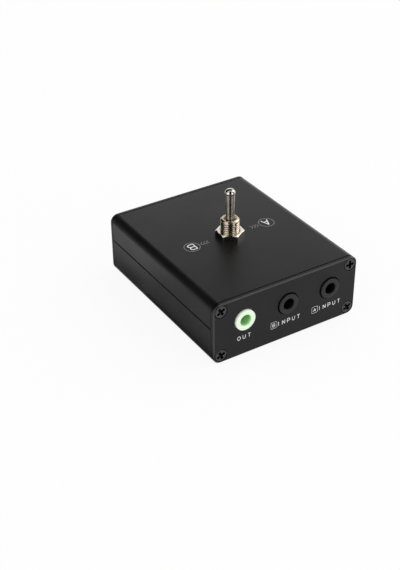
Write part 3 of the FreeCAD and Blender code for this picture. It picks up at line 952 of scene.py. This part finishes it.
@dataclass
class Enclosure:
    """The two half shells, the two end plates and their eight screws."""

    width: float = 50.0
    length: float = 60.0
    height: float = 20.0
    corner_radius: float = 2.5
    corner_steps: int = 14
    plate_thickness: float = 1.5
    plate_bevel: float = 0.33
    rebate_width: float = 0.34
    rebate_depth: float = 0.4
    rebate_side: float = 0.08
    plate_edge: float = 0.04
    shell_edge: float = 0.08
    nozzle_hole: float = 3.58
    nozzle_hole_edge: float = 0.07
    screw_inset: float = 2.5
    seat_mouth: float = 2.16
    seat_flare: float = 0.1
    seat_lip: float = 0.05
    seat_edge: float = 0.03
    seat_wall: float = 0.45
    seat_slope: float = 0.8
    seat_hole: float = 1.15
    seat_round: float = 0.1
    head_radius: float = 1.85
    head_sink: float = 0.12
    head_edge: float = 0.14
    crown_rise: float = 0.04
    crown_share: float = 0.55
    crown_edge: float = 0.03
    rim_height: float = 0.1
    rim_draft: float = 0.03
    neck_length: float = 0.2
    neck_round: float = 0.1
    shank_radius: float = 0.95
    shank_length: float = 6.0
    tip_length: float = 0.3
    tip_share: float = 0.6
    thread_pitch: float = 0.45
    thread_depth: float = 0.16
    thread_rows: int = 10
    recess_reach: float = 1.4
    recess_width: float = 0.88
    recess_depth: float = 0.95
    recess_foot: float = 1.15
    recess_taper: float = 0.85
    # How much further and wider the recess's tool is above the head, and how high
    recess_mouth: Corner = (0.1, 0.04, 0.3)
    # The reach, the width and the depth of the point under its foot
    recess_point: Corner = (0.16, 0.12, 0.2)
    screw_turns: dict[End, tuple[float, ...]] = field(default_factory=lambda: {
        End.FRONT: (24.0, 30.0, 30.0, 3.0), End.REAR: (18.0, 63.0, 35.0, 7.0)})

    def screw_places(self) -> list[Point]:
        """The four screw axes as (x, z): left low, left high, right low, right high."""
        side = self.width / 2 - self.screw_inset
        return [(x, z) for x in (-side, side) for z in (self.screw_inset, self.height - self.screw_inset)]

    def on_end(self, form: Form, end: End, place: Point, turn: float = 0.0) -> Form:
        """Stands a form made about Z on an end's face, at a place given as (x, z)."""
        return laid(form, (place[0], end.value * self.length / 2, place[1]), end, turn)

    def shells(self) -> list[bpy.types.Object]:
        """Rounds the edges of the two packed half shells a little.

        Returns:
            The two shells' objects.
        """
        pieces = [frame["nodes"]["top_shell"], frame["nodes"]["bottom_shell"]]
        for shell in pieces:
            weld_points(shell)
            bevel = shell.modifiers.new("broken_edges", "BEVEL")
            bevel.width = self.shell_edge * MM
            bevel.segments = 2
            bevel.limit_method = "ANGLE"
            bevel.angle_limit = math.radians(35)
            bevel.harden_normals = False
            shell.modifiers.new("even_shading", "WEIGHTED_NORMAL").keep_sharp = True
        return pieces

    def hole(self, profile: Sequence[Corner], sides: int) -> Form:
        """A hole right through a plate, as a tool about Z.

        Args:
            profile: The corners of its wall, from the plate's face down.
            sides: How many sides it has.

        Returns:
            The tool.
        """
        mouth, throat, foot = profile[0][0], profile[-1][0], -self.plate_thickness - CUT_PAST
        outline = [(0, CUT_PAST, 0), (mouth, CUT_PAST, 0), *profile, (throat, foot, 0), (0, foot, 0)]
        return turned(outline, sides)

    def plate(self, end: End) -> bpy.types.Object:
        """An end plate with rounded edges, screw seats and, in front, three holes for the nozzles.

        Args:
            end: Which end it closes.

        Returns:
            The plate.
        """
        face = self.length / 2
        back = face - self.plate_thickness
        lip = back + self.rebate_width
        rows = []
        steps = ((back, self.rebate_depth), (lip, self.rebate_depth), (lip, self.plate_edge),
                 (lip + self.plate_edge, 0.0), (face - self.plate_bevel, 0.0), (face, self.plate_bevel))
        for y, inset in steps:
            sink = min(inset, self.rebate_side) if y < lip + TINY else inset
            across, up = self.width / 2 - sink, self.height / 2 - inset
            outline = rounded_rectangle(across, up, self.corner_radius - sink, self.corner_steps)
            rows.append([Vector((point.x, end.value * y, point.y + self.height / 2)) for point in outline])
        mouth, hole, edge = self.seat_mouth, self.seat_hole, self.nozzle_hole_edge
        cone = (hole, -self.seat_wall - (mouth - hole) * self.seat_slope, self.seat_round)
        seat = [(mouth + self.seat_flare, self.seat_lip, 0), (mouth, -self.seat_edge, 0),
                (mouth, -self.seat_wall, 0), cone]
        cuts = [self.on_end(self.hole(seat, 48), end, place) for place in self.screw_places()]
        if end is End.FRONT:
            wall = [(self.nozzle_hole + edge, 0.0, 0), (self.nozzle_hole, -edge, 0)]
            cuts += [self.on_end(self.hole(wall, 96), end, (x, JACK_HEIGHT)) for x in JACK_PLACES.values()]
        name = f"{end.name.lower()}_plate"
        piece = as_piece(f"{name}_dressed", carved(lofted(rows), cuts), FINISHES["black_anodised_aluminium"],
                         Body.BOX, [name], crease=28.0)
        piece.modifiers.new("even_shading", "WEIGHTED_NORMAL").keep_sharp = True
        return piece

    def screw(self) -> Form:
        """A countersunk screw about Z, with its thread and its cross recess.

        Returns:
            The screw, its plate's face at zero height.
        """
        top, head, shank = -self.head_sink, self.head_radius, self.shank_radius
        throat = top - (head - shank)
        neck, end = throat - self.neck_length, top - self.shank_length
        rings = softened([(0, top + self.crown_rise, 0), (head * self.crown_share, top + self.crown_edge, 0),
                          (head, top, self.head_edge), (head - self.rim_draft, top - self.rim_height, 0),
                          (shank, throat, self.neck_round), (shank, neck, 0)])
        rows = self.thread_rows * round((neck - end) / self.thread_pitch)
        for row in range(1, rows + 1):
            height = neck + (end + self.tip_length - neck) * row / rows
            depth = self.thread_depth * min(1.0, row / self.thread_rows)
            rings.append(thread_ring(shank, depth, self.thread_pitch, height))
        rings += [fixed(shank * self.tip_share, end), fixed(0, end)]
        return carved(revolved(rings, 40), [self.recess(top)])

    def recess(self, top: float) -> Form:
        """The cross recess as a tool that narrows downward.

        Args:
            top: The height of the screw's head.

        Returns:
            The tool.
        """
        foot, (flare, widening, rise) = top - self.recess_depth, self.recess_mouth
        reach, width, depth = self.recess_point
        quarters = [Matrix.Rotation(math.pi / 2 * quarter, 3, "Z") for quarter in range(4)]
        rows = []
        levels = ((top + rise, self.recess_reach + flare, self.recess_width + widening),
                  (foot, self.recess_foot, self.recess_width * self.recess_taper),
                  (foot - depth, reach, width))
        for height, reach, width in levels:
            half = width / 2
            arm = [Vector((x, y, height)) for x, y in ((half, half), (half, reach), (-half, reach))]
            rows.append([turn @ corner for turn in quarters for corner in arm])
        return lofted(rows)

    def screws(self, end: End) -> list[bpy.types.Object]:
        """The four screws of one end plate.

        Args:
            end: The plate's end.

        Returns:
            The screws, which stand for their CAD node together.
        """
        pieces, side = [], end.name.lower()
        for number, (place, turn) in enumerate(zip(self.screw_places(), self.screw_turns[end]), 1):
            form = self.on_end(self.screw(), end, place, turn)
            pieces.append(as_piece(f"{side}_screw_{number}", form, FINISHES["blackened_steel"], Body.BOX,
                                   [f"{side}_plate_screws"]))
        return pieces

    def build(self) -> list[bpy.types.Object]:
        """Builds and dresses the enclosure.

        Returns:
            Its pieces.
        """
        pieces = self.shells()
        for end in End:
            pieces.append(self.plate(end))
            pieces += self.screws(end)
        return pieces


@dataclass
class Printing:
    """The plain words and signs printed on the front plate and the lid; places are the middles of letters."""

    plate_face: float = -30.0
    lid_height: float = 20.0
    ink_height: float = 0.012
    letter_width: float = 1.04
    letter_height: float = 1.44
    letter_stroke: float = 0.16
    letter_pitch: float = 1.77
    round_width: float = 1.15
    out_place: Point = (-16.48, 6.15)
    input_b_frame: Point = (-4.42, 6.1)
    input_b_place: Point = (-2.76, 6.0)
    input_a_frame: Point = (10.22, 6.05)
    input_a_place: Point = (11.95, 6.0)
    frame_width: float = 2.08
    frame_height: float = 2.2
    frame_corner: float = 0.4
    frame_line: float = 0.08
    framed_width: float = 0.95
    framed_height: float = 1.25
    framed_stroke: float = 0.14
    sign_place: float = 13.4
    sign_width: float = 2.4
    sign_height: float = 3.2
    sign_stroke: float = 0.31
    circle_radius: float = 2.42
    circle_line: float = 0.15
    chevron_tips: tuple[float, ...] = (10.35, 9.35, 8.35)
    chevron_arm: float = 0.8
    chevron_line: float = 0.13

    def letter(self, character: str, width: float, height: float, stroke: float) -> Form:
        """One letter, its middle on the origin, standing up from the XY plane.

        Args:
            character: The letter.
            width: Its width.
            height: Its height.
            stroke: How wide its strokes are.

        Returns:
            The letter.
        """
        strokes = []
        for points in STROKES[character]:
            line = [Vector((x * (width - stroke), y * (height - stroke))) for x, y in points]
            strokes.append(ribbon(line, stroke, self.ink_height, closed=character == "O"))
        return carved(strokes[0], (), strokes[1:])

    def word(self, letters: str, place: Point) -> list[Form]:
        """A word's letters, spread out from its first, the round ones a little wider.

        Args:
            letters: The word.
            place: The middle of its first letter.

        Returns:
            The letters.
        """
        forms = []
        for index, letter in enumerate(letters):
            width = self.letter_width * (self.round_width if letter == "O" else 1.0)
            form = self.letter(letter, width, self.letter_height, self.letter_stroke)
            forms.append(moved(form, Matrix.Translation((place[0] + self.letter_pitch * index, place[1], 0))))
        return forms

    def framed(self, letter: str, place: Point) -> list[Form]:
        """A letter in a rounded frame.

        Args:
            letter: The letter.
            place: The frame's middle.

        Returns:
            The frame and the letter.
        """
        outline = rounded_rectangle(self.frame_width / 2, self.frame_height / 2, self.frame_corner, 5)
        square = ribbon(outline, self.frame_line, self.ink_height, closed=True)
        sign = self.letter(letter, self.framed_width, self.framed_height, self.framed_stroke)
        return [moved(form, Matrix.Translation((*place, 0))) for form in (square, sign)]

    def lid_marks(self, side: int) -> list[Form]:
        """The circle and the chevrons beside the toggle.

        Args:
            side: The sign of their X before the lid's turn.

        Returns:
            The marks.
        """
        circle = [on_circle(self.circle_radius, math.tau * step / 64) for step in range(64)]
        rim = ribbon(circle, self.circle_line, self.ink_height, closed=True)
        marks, arm = [moved(rim, Matrix.Translation((side * self.sign_place, 0, 0)))], self.chevron_arm
        for tip in self.chevron_tips:
            end = side * (tip - arm)
            knees = [Vector((end, arm)), Vector((side * tip, 0)), Vector((end, -arm))]
            marks.append(ribbon(knees, self.chevron_line, self.ink_height, closed=False))
        return marks

    @staticmethod
    def printed(name: str, forms: Sequence[Form], stand: Matrix, ink: Finish = INK) -> bpy.types.Object:
        """Gathers forms into one printed piece.

        Args:
            name: The piece's name.
            forms: The forms, which stand up from the XY plane and are used up.
            stand: What brings them to their face of the box.
            ink: Their ink.

        Returns:
            The piece.
        """
        whole = bmesh.new()
        for form in forms:
            part = mesh_of(name, form)
            whole.from_mesh(part)
            bpy.data.meshes.remove(part)
        return as_piece(name, moved(whole, stand), ink, Body.BOX)

    def build(self) -> list[bpy.types.Object]:
        """Builds every print; those on the lid read from behind.

        Returns:
            The printed pieces.
        """
        plate = Matrix.Translation((0, self.plate_face, 0)) @ Matrix.Rotation(math.pi / 2, 4, "X")
        lid = Matrix.Translation((0, 0, self.lid_height)) @ Matrix.Rotation(math.pi, 4, "Z")
        input_b = self.framed("B", self.input_b_frame) + self.word("INPUT", self.input_b_place)
        input_a = self.framed("A", self.input_a_frame) + self.word("INPUT", self.input_a_place)
        pieces = [self.printed("print_out", self.word("OUT", self.out_place), plate),
                  self.printed("print_input_b", input_b, plate),
                  self.printed("print_input_a", input_a, plate)]
        for letter, side in (("B", 1), ("A", -1)):
            name = f"print_lid_{letter.lower()}"
            sign = self.letter(letter, self.sign_width, self.sign_height, self.sign_stroke)
            moved(sign, Matrix.Translation((side * self.sign_place, 0, 0)))
            pieces.append(self.printed(name, [sign], lid))
            pieces.append(self.printed(f"{name}_marks", self.lid_marks(side), lid, FAINT_INK))
        return pieces


@dataclass
class JackRow:
    """The three jack housings with their nozzles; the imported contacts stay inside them."""

    half_width: float = 5.5
    floor: float = 6.4
    roof: float = 16.6
    roof_bevel: float = 1.2
    front: float = -28.35
    rear: float = -14.95
    body_edge: float = 0.12
    nozzle_face: float = -30.5
    nozzle_radius: float = 3.3
    nozzle_edge: float = 0.25
    nozzle_root: float = 1.0
    bore_radius: float = 1.8
    bore_end: float = -16.15
    bore_past: float = 0.6
    lead_in: float = 0.14
    lead_round: float = 0.08
    mouth_flare: float = 0.1
    mouth_lip: float = 0.02
    mouth_round: float = 0.06
    contact_depths: tuple[tuple[int, float], ...] = ((-1, 4.6), (1, 8.6), (-1, 11.3))
    contact_before: float = 1.2
    contact_behind: float = 2.8
    contact_outreach: float = 4.6
    contact_height: float = 1.8
    contact_thickness: float = 0.3
    contact_clearance: float = 0.1
    leg_behind: float = 0.2
    leg_pocket: Point = (0.25, 0.6)

    def pockets(self, axis: float) -> list[Form]:
        """The spaces for a jack's three contacts and their legs.

        Args:
            axis: The jack's place along X.

        Returns:
            The tools that cut them.
        """
        tools, gap = [], self.contact_clearance
        low = JACK_HEIGHT - self.contact_height / 2 - gap
        high = low + self.contact_height + 2 * gap
        for side, depth in self.contact_depths:
            outer = axis + side * (self.contact_outreach + self.contact_thickness / 2)
            y = self.nozzle_face + depth
            tools.append(block((min(outer, axis), y - self.contact_before - gap, low),
                               (max(outer, axis), y + self.contact_behind, high)))
            leg, behind = axis + side * (self.contact_outreach - gap), y + self.leg_behind
            across, along = self.leg_pocket
            tools.append(block((leg - across, behind - along, self.floor - CUT_PAST),
                               (leg + across, behind + along, JACK_HEIGHT)))
        return tools

    def housing(self, name: str, axis: float, finish: Finish) -> bpy.types.Object:
        """A moulded housing with its nozzle.

        Args:
            name: The jack's name.
            axis: Its place along X.
            finish: Its plastic.

        Returns:
            The housing.
        """
        half, eave, ridge = self.half_width, self.roof - self.roof_bevel, self.half_width - self.roof_bevel
        section = ((-half, self.floor), (half, self.floor), (half, eave), (ridge, self.roof),
                   (-ridge, self.roof), (-half, eave))
        body = lofted([[Vector((axis + x, y, z)) for x, z in section] for y in (self.front, self.rear)])
        bmesh.ops.bevel(body, geom=body.edges[:], offset=self.body_edge, segments=2, profile=0.5,
                        affect="EDGES")
        proud, foot, radius = self.front - self.nozzle_face, -self.nozzle_root, self.nozzle_radius
        nozzle = turned([(0, foot, 0), (radius, foot, 0), (radius, proud, self.nozzle_edge),
                         (0, proud, 0)], 96, 7)
        inner, depth = self.bore_radius, self.nozzle_face - self.bore_end
        mouth, flare, lip = inner + self.lead_in, self.mouth_flare, self.mouth_lip
        bore = turned([(0, self.bore_past, 0), (mouth + flare, self.bore_past, 0), (mouth + flare, flare, 0),
                       (mouth - lip, -lip, self.mouth_round), (inner, -self.lead_in, self.lead_round),
                       (inner, depth, 0), (0, depth, 0)], 72, 5)
        form = carved(body, [laid(bore, (axis, self.nozzle_face, JACK_HEIGHT)), *self.pockets(axis)],
                      [laid(nozzle, (axis, self.front, JACK_HEIGHT))])
        return as_piece(f"{name}_housing_dressed", form, finish, Body.BOX, [f"{name}_housing"], crease=30.0)

    def build(self) -> list[bpy.types.Object]:
        """Builds the three housings.

        Returns:
            The housings.
        """
        lime, black = FINISHES["lime_green_plastic"], FINISHES["black_plastic"]
        return [self.housing(name, axis, lime if name == "out_jack" else black)
                for name, axis in JACK_PLACES.items()]


@dataclass
class Toggle:
    """The parts of the switch that stand above the lid: bushing, nut and lever."""

    bushing_radius: float = 2.9
    bushing_foot: float = 15.7
    bushing_top: float = 25.8
    bushing_bevel: float = 0.45
    bevel_round: float = 0.14
    collar_radius: float = 3.8
    collar_top: float = 16.3
    collar_round: float = 0.08
    root_round: float = 0.05
    relief: float = 0.3
    counterbore: float = 2.356
    counterbore_top: float = 22.3
    mouth_radius: float = 2.006
    mouth_round: float = 0.1
    throat_radius: float = 1.449
    throat_height: float = 23.95
    seat_radius: float = 1.85
    pivot_height: float = 22.8
    pin_slot: float = 0.45
    pin_reach: float = 2.2
    thread_pitch: float = 0.6933
    thread_depth: float = 0.2
    thread_phase: float = 0.26
    thread_rows: int = 16
    thread_end: float = 0.05
    nut_base: float = 20.0
    nut_thickness: float = 1.7
    nut_flat: float = 3.925
    nut_bore: float = 2.92
    nut_turn: float = math.radians(-31.0)
    nut_land: float = 3.86
    nut_corner_wear: float = 0.06
    nut_edge: float = 0.04
    nut_funnel: float = 0.3
    shoulder_edge: float = 0.03
    shoulder_fall: float = math.tan(math.radians(30))
    tail_radius: float = 0.75
    tail_end: float = 13.4
    tail_round: float = 0.1
    neck_round: float = 0.15
    ball_radius: float = 1.8
    ball_skirt: float = 0.5
    skirt_step: float = 0.02
    ball_crown: float = 1.425
    root_radius: float = 1.26
    shaft_radius: float = 1.45
    shaft_top: float = 33.9
    shaft_round: float = 0.05
    tip_radius: float = 1.6
    tip_centre: float = 34.38
    tip_crown: float = 1.32
    tip_start: float = -12.0
    pin_bore: float = 0.4
    bore_reach: float = 3.0

    def bushing(self) -> bpy.types.Object:
        """The threaded bushing with its funnel, ball seat and counterbore.

        Returns:
            The bushing.
        """
        start, stop = self.collar_top + self.relief, self.bushing_top - self.bushing_bevel
        radius, collar, turn = self.bushing_radius, self.collar_radius, self.thread_rows
        rings = softened([(self.counterbore, self.bushing_foot, 0),
                          (collar, self.bushing_foot, self.collar_round),
                          (collar, self.collar_top, self.collar_round),
                          (radius, self.collar_top, self.root_round), (radius, start, 0)])[:-1]
        rows = turn * round((stop - start) / self.thread_pitch)
        for row in range(rows + 1):
            depth = self.thread_depth * min(1.0, row / turn, 2 * (rows - row) / turn + 0.25)
            height = start + (stop - start) * row / rows
            rings.append(thread_ring(radius, depth, self.thread_pitch, height, self.thread_phase))
        top, seat, ledge = self.bushing_top, self.seat_radius, self.counterbore_top
        rings += softened([(radius - self.thread_end, stop + self.thread_end, 0),
                           (radius - self.bushing_bevel, top, self.bevel_round),
                           (self.mouth_radius, top, self.mouth_round),
                           (self.throat_radius, self.throat_height, 0)])
        lean = math.degrees(math.asin((self.throat_height - self.pivot_height) / seat))
        rings += softened(ball_corners(self.pivot_height, (seat, seat), lean, 0.0, 8))[1:]
        rings += [fixed(seat, ledge), fixed(self.counterbore, ledge)]
        slot = block((-self.pin_slot, -self.pin_reach, self.bushing_foot + CUT_PAST),
                     (self.pin_slot, self.pin_reach, self.pivot_height))
        groove = laid(bar(self.pin_slot, self.pin_reach), (0, 0, self.pivot_height))
        form = carved(revolved(rings, 96, closed=True), [slot, groove])
        return as_piece("toggle_bushing_threaded", form, THREADED_NICKEL, Body.BOX, ["toggle_bushing"],
                        crease=25.0)

    def nut_radius(self, angle: float) -> float:
        """How far the panel nut's side is from its axis at an angle, its corners a little worn.

        Args:
            angle: The angle, in radians.

        Returns:
            The radius.
        """
        within = (angle - self.nut_turn) % (math.pi / 3) - math.pi / 6
        corner = self.nut_flat / math.cos(math.pi / 6)
        return min(self.nut_flat / math.cos(within), corner - self.nut_corner_wear)

    def nut(self) -> bpy.types.Object:
        """The panel nut, its upper corners turned off.

        Returns:
            The nut.
        """
        base, top, edge = self.nut_base, self.nut_base + self.nut_thickness, self.shoulder_edge

        def side(inset: float, height: float) -> Ring:
            """A ring round the sides, at one height."""
            return lambda angle: (self.nut_radius(angle) - inset, height)

        def shoulder(inset: float, drop: float) -> Ring:
            """A ring along the edge where the sides meet the turned-off corners."""
            return lambda angle: (self.nut_radius(angle) - inset,
                                  top - (self.nut_radius(angle) - self.nut_land) * self.shoulder_fall - drop)

        rings = [fixed(self.nut_bore, base), side(self.nut_edge, base), side(0.0, base + self.nut_edge),
                 shoulder(0.0, edge), shoulder(edge, 0.0), fixed(self.nut_land, top),
                 fixed(self.nut_bore + self.nut_funnel, top), fixed(self.nut_bore, top - self.nut_funnel)]
        form = revolved(rings, 144, closed=True, start=self.nut_turn)
        return as_piece("panel_nut_turned", form, FINISHES["nickel_plated_brass"], Body.BOX, ["panel_nut"],
                        crease=24.0)

    def lever(self) -> bpy.types.Object:
        """The lever: tail, pivot ball on a cone, neck, a shaft that swells to its end, and ball tip.

        Returns:
            The lever.
        """
        ball, pivot, step = self.ball_radius, self.pivot_height, self.skirt_step
        skirt = math.sqrt(ball ** 2 - self.ball_skirt ** 2)
        low, high = (math.degrees(math.asin(rise / ball)) for rise in (-self.ball_skirt, self.ball_crown))
        outline = [(0, self.tail_end, 0), (self.tail_radius, self.tail_end, self.tail_round),
                   (self.tail_radius, pivot - ball, self.neck_round),
                   (skirt - step, pivot - self.ball_skirt - step, 0),
                   *ball_corners(pivot, (ball, ball), low, high, 16), (self.root_radius, self.bushing_top, 0),
                   (self.shaft_radius, self.shaft_top, self.shaft_round),
                   *ball_corners(self.tip_centre, (self.tip_radius, self.tip_crown), self.tip_start, 90, 24)]
        form = carved(turned(outline, 72), [laid(bar(self.pin_bore, self.bore_reach), (0, 0, pivot))])
        return as_piece("toggle_lever_turned", form, TURNED_NICKEL, Body.TOGGLE, ["toggle_lever"],
                        crease=30.0)

    def build(self) -> list[bpy.types.Object]:
        """Builds the three parts."""
        return [self.bushing(), self.nut(), self.lever()]


class PackedParts:
    """The CAD nodes that keep their shape and get a finish."""

    def build(self) -> list[bpy.types.Object]:
        """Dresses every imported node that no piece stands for.

        Returns:
            The dressed nodes.
        """
        slots = {part["node"]: part["material_slot"] for part in frame["record"]["subparts"]}
        shown = {node: thing for node, thing in frame["nodes"].items() if not thing.hide_render}
        for node, thing in shown.items():
            for place in thing.material_slots:
                place.material = FINISHES[slots[node]].material()
        weld_points(shown["plungers"])
        return list(shown.values())


# The studio, in metres


def direction(azimuth: float, elevation: float) -> Vector:
    """The way to something round the object.

    Args:
        azimuth: 0 for the front and 90 for the right, in degrees.
        elevation: The angle above the level, in degrees.

    Returns:
        A vector of length 1.
    """
    turn, rise = math.radians(azimuth), math.radians(elevation)
    return Vector((math.sin(turn) * math.cos(rise), -math.cos(turn) * math.cos(rise), math.sin(rise)))


def matt_card(name: str, corners: Sequence[Point], grey: float) -> bpy.types.Object:
    """A matt card, which only reflections see, flat on the XY plane.

    Args:
        name: The card's name.
        corners: Its corners.
        grey: How light it is.

    Returns:
        The card.
    """
    form = bmesh.new()
    form.faces.new([form.verts.new((*corner, 0)) for corner in corners])
    mesh = mesh_of(name, form)
    paint, sheet = painted(name)
    sheet.shade("Base Color", (grey, grey, grey, 1))
    sheet.shade("Specular IOR Level", 0.0)
    mesh.materials.append(paint)
    thing = placed(name, mesh)
    thing.visible_camera = thing.visible_diffuse = thing.visible_shadow = thing.visible_transmission = False
    return thing


@dataclass(frozen=True)
class Panel:
    """A soft box or a black card that stands round the object and faces it."""

    name: str
    azimuth: float
    elevation: float
    width: float
    height: float
    radiance: float = 0.0
    distance: float = 0.7
    rise: float = 0.01

    def pose(self, thing: bpy.types.Object) -> None:
        """Stands the panel's object in its place.

        Args:
            thing: The object.
        """
        way = direction(self.azimuth, self.elevation)
        thing.location = way * self.distance + Vector((0, 0, self.rise))
        thing.rotation_euler = way.to_track_quat("Z", "Y").to_euler()

    def light(self) -> None:
        """Makes the panel a soft box."""
        lamp = bpy.data.lights.new(self.name, "AREA")
        lamp.shape = "RECTANGLE"
        lamp.size, lamp.size_y = self.width, self.height
        lamp.energy = self.radiance * math.pi * self.width * self.height
        self.pose(placed(self.name, lamp))

    def card(self) -> None:
        """Makes the panel a black card."""
        corners = [(x * self.width / 2, y * self.height / 2) for x, y in ((-1, -1), (1, -1), (1, 1), (-1, 1))]
        self.pose(matt_card(self.name, corners, 0.01))


@dataclass(frozen=True)
class Flag:
    """A matt card that lies on the floor and shades what the object mirrors; the grey ones by the box's left
    side are painted shadow, the box's own shadow on the floor as its reflections show it.
    """

    name: str
    corners: tuple[Point, ...]
    grey: float

    def lay(self, rise: float) -> None:
        """Lays the flag a little above the floor."""
        matt_card(self.name, self.corners, self.grey).location.z = rise


@dataclass
class Studio:
    """The pale floor, the soft light and the camera."""

    floor_radius: float = 4.0
    floor_thickness: float = 0.02
    floor_gap: float = 0.00005
    floor_grey: float = 0.9
    floor_white: float = 0.9
    floor_mirror: float = 0.5
    sky: float = 0.75
    sky_mirror: float = 0.95
    flag_step: float = 0.0002
    boxes: tuple[Panel, ...] = (
        Panel("right_soft_box", 85, 38, 0.55, 0.6, 1.4),
        Panel("front_soft_box", 18, 16, 0.26, 0.36, 3.0),
        Panel("left_soft_box", -75, 16, 0.38, 0.32, 2.1),
        Panel("rear_soft_box", 152, 12, 0.8, 0.26, 0.45),
    )
    cards: tuple[Panel, ...] = (
        Panel("rear_left_card", -155, 29, 0.92, 0.64),
        Panel("camera_card", -28, 37, 0.56, 1.26),
        Panel("front_right_card", 40, 20, 0.34, 0.7),
        Panel("ceiling_card", 149, 62, 0.9, 0.6),
    )
    flags: tuple[Flag, ...] = (
        # Painted shadow: the three grey flags by the box's left side stand for its shadow on the floor in its
        # reflections.
        Flag("side_shadow_flag", ((-0.044, -0.06), (-0.0253, -0.06), (-0.0253, 0.012), (-0.0305, 0.012)), 0.03),
        Flag("rear_side_shadow_flag", ((-0.0305, 0.012), (-0.0253, 0.012), (-0.0253, 0.062), (-0.0305, 0.062)),
             0.35),
        Flag("left_flag", ((-0.7, -0.06), (-0.027, -0.06), (-0.027, 0.018), (-0.7, 0.018)), 0.7),
        Flag("camera_flag", ((0.014, -0.099), (-0.082, -0.057), (-0.573, -0.402), (0.097, -0.693)), 0.01),
        Flag("rear_left_flag", ((-0.027, 0.101), (-0.07, 0.078), (-0.094, 0.104), (-0.14, 0.005),
                                (-0.7, 0.024), (-0.181, 0.676)), 0.01),
        Flag("front_right_flag", ((0.0647, -0.089), (0.1005, -0.0447), (0.6395, -0.2847),
                                  (0.4114, -0.5663)), 0.01),
    )
    azimuth: float = -31.6374
    elevation: float = 33.6236
    roll: float = math.radians(-0.5991)
    eye: Corner = (-157.238, -237.7134, 191.2349)
    focal_pixels: float = 1098.956
    long_side_pixels: int = 570

    @staticmethod
    def lit(sheet: Sheet, output: str, plain: bpy.types.Node, white: bpy.types.Node, shares: Point) -> None:
        """Mixes the plain white background into a shader, by what kind of ray sees it.

        Args:
            sheet: The tree to draw on.
            output: The kind of its output node.
            plain: The shader for the other rays.
            white: The shader of the background.
            shares: How much white the camera's rays see, and how much glossy and transmission rays do.
        """
        path = sheet.add("LightPath").outputs
        bounced = sheet.reckon("MAXIMUM", path["Is Glossy Ray"], path["Is Transmission Ray"])
        seen, mirrored = sheet.product(path["Is Camera Ray"], shares[0]), sheet.product(bounced, shares[1])
        share = sheet.reckon("MAXIMUM", seen, mirrored)
        mixed = sheet.add("MixShader", {0: share, 1: plain.outputs[0], 2: white.outputs[0]})
        sheet.add(output, {"Surface": mixed.outputs[0]})

    def floor(self) -> None:
        """Lays the floor, which keeps the object's shadow."""
        rim = [on_circle(self.floor_radius, math.tau * step / 64) for step in range(64)]
        heights = (-self.floor_thickness, -self.floor_gap)
        form = lofted([[Vector((*point, z)) for point in rim] for z in heights])
        mesh = mesh_of("floor", form)
        paint, sheet = painted("pale_floor")
        sheet.tree.nodes.clear()
        matt = sheet.add("BsdfDiffuse", {"Color": (self.floor_grey, self.floor_grey, self.floor_grey, 1)})
        white = sheet.add("Emission", {"Color": (1, 1, 1, 1), "Strength": 1.0})
        self.lit(sheet, "OutputMaterial", matt, white, (self.floor_white, self.floor_mirror))
        mesh.materials.append(paint)
        placed("floor", mesh)

    def surroundings(self) -> None:
        """Makes the world: plain grey light, seen as white."""
        world = bpy.data.worlds.new("plain_studio")
        bpy.context.scene.world = world
        world.use_nodes = True
        world.node_tree.nodes.clear()
        sheet = Sheet(world.node_tree)
        light, white = (sheet.add("Background", {"Color": (1, 1, 1, 1), "Strength": strength})
                        for strength in (self.sky, 1.0))
        self.lit(sheet, "OutputWorld", light, white, (1.0, self.sky_mirror))

    def camera(self) -> None:
        """Stands the camera where the photograph was taken from."""
        back = direction(self.azimuth, self.elevation)
        level = Vector((*on_circle(1.0, math.radians(self.azimuth)), 0))
        upright = back.cross(level)
        right = level * math.cos(self.roll) + upright * math.sin(self.roll)
        up = upright * math.cos(self.roll) - level * math.sin(self.roll)
        lens = bpy.data.cameras.new("photo_camera")
        lens.sensor_width = 36.0
        lens.lens = self.focal_pixels * lens.sensor_width / self.long_side_pixels
        lens.clip_start, lens.clip_end = 0.01, 20.0
        thing = placed("photo_camera", lens)
        stand = Matrix((right, up, back)).transposed().to_4x4()
        stand.translation = Vector(self.eye) * MM
        thing.matrix_world = stand
        bpy.context.scene.camera = thing

    def build(self) -> None:
        """Sets up the whole studio."""
        bpy.context.scene.view_settings.view_transform = "Standard"
        self.floor()
        self.surroundings()
        for panel in self.boxes:
            panel.light()
        for panel in self.cards:
            panel.card()
        for number, flag in enumerate(self.flags, 1):
            flag.lay(self.flag_step * number)
        self.camera()


def main() -> None:
    """Builds every sub-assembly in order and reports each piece."""
    logging.basicConfig(level=logging.INFO, format="%(message)s")
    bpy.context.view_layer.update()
    for assembly in (Enclosure(), Printing(), JackRow(), Toggle(), PackedParts()):
        for piece in assembly.build():
            LOG.info("%s: %s, with %d faces", type(assembly).__name__, piece.name, len(piece.data.polygons))
    Studio().build()


if __name__ == "__main__":
    main()
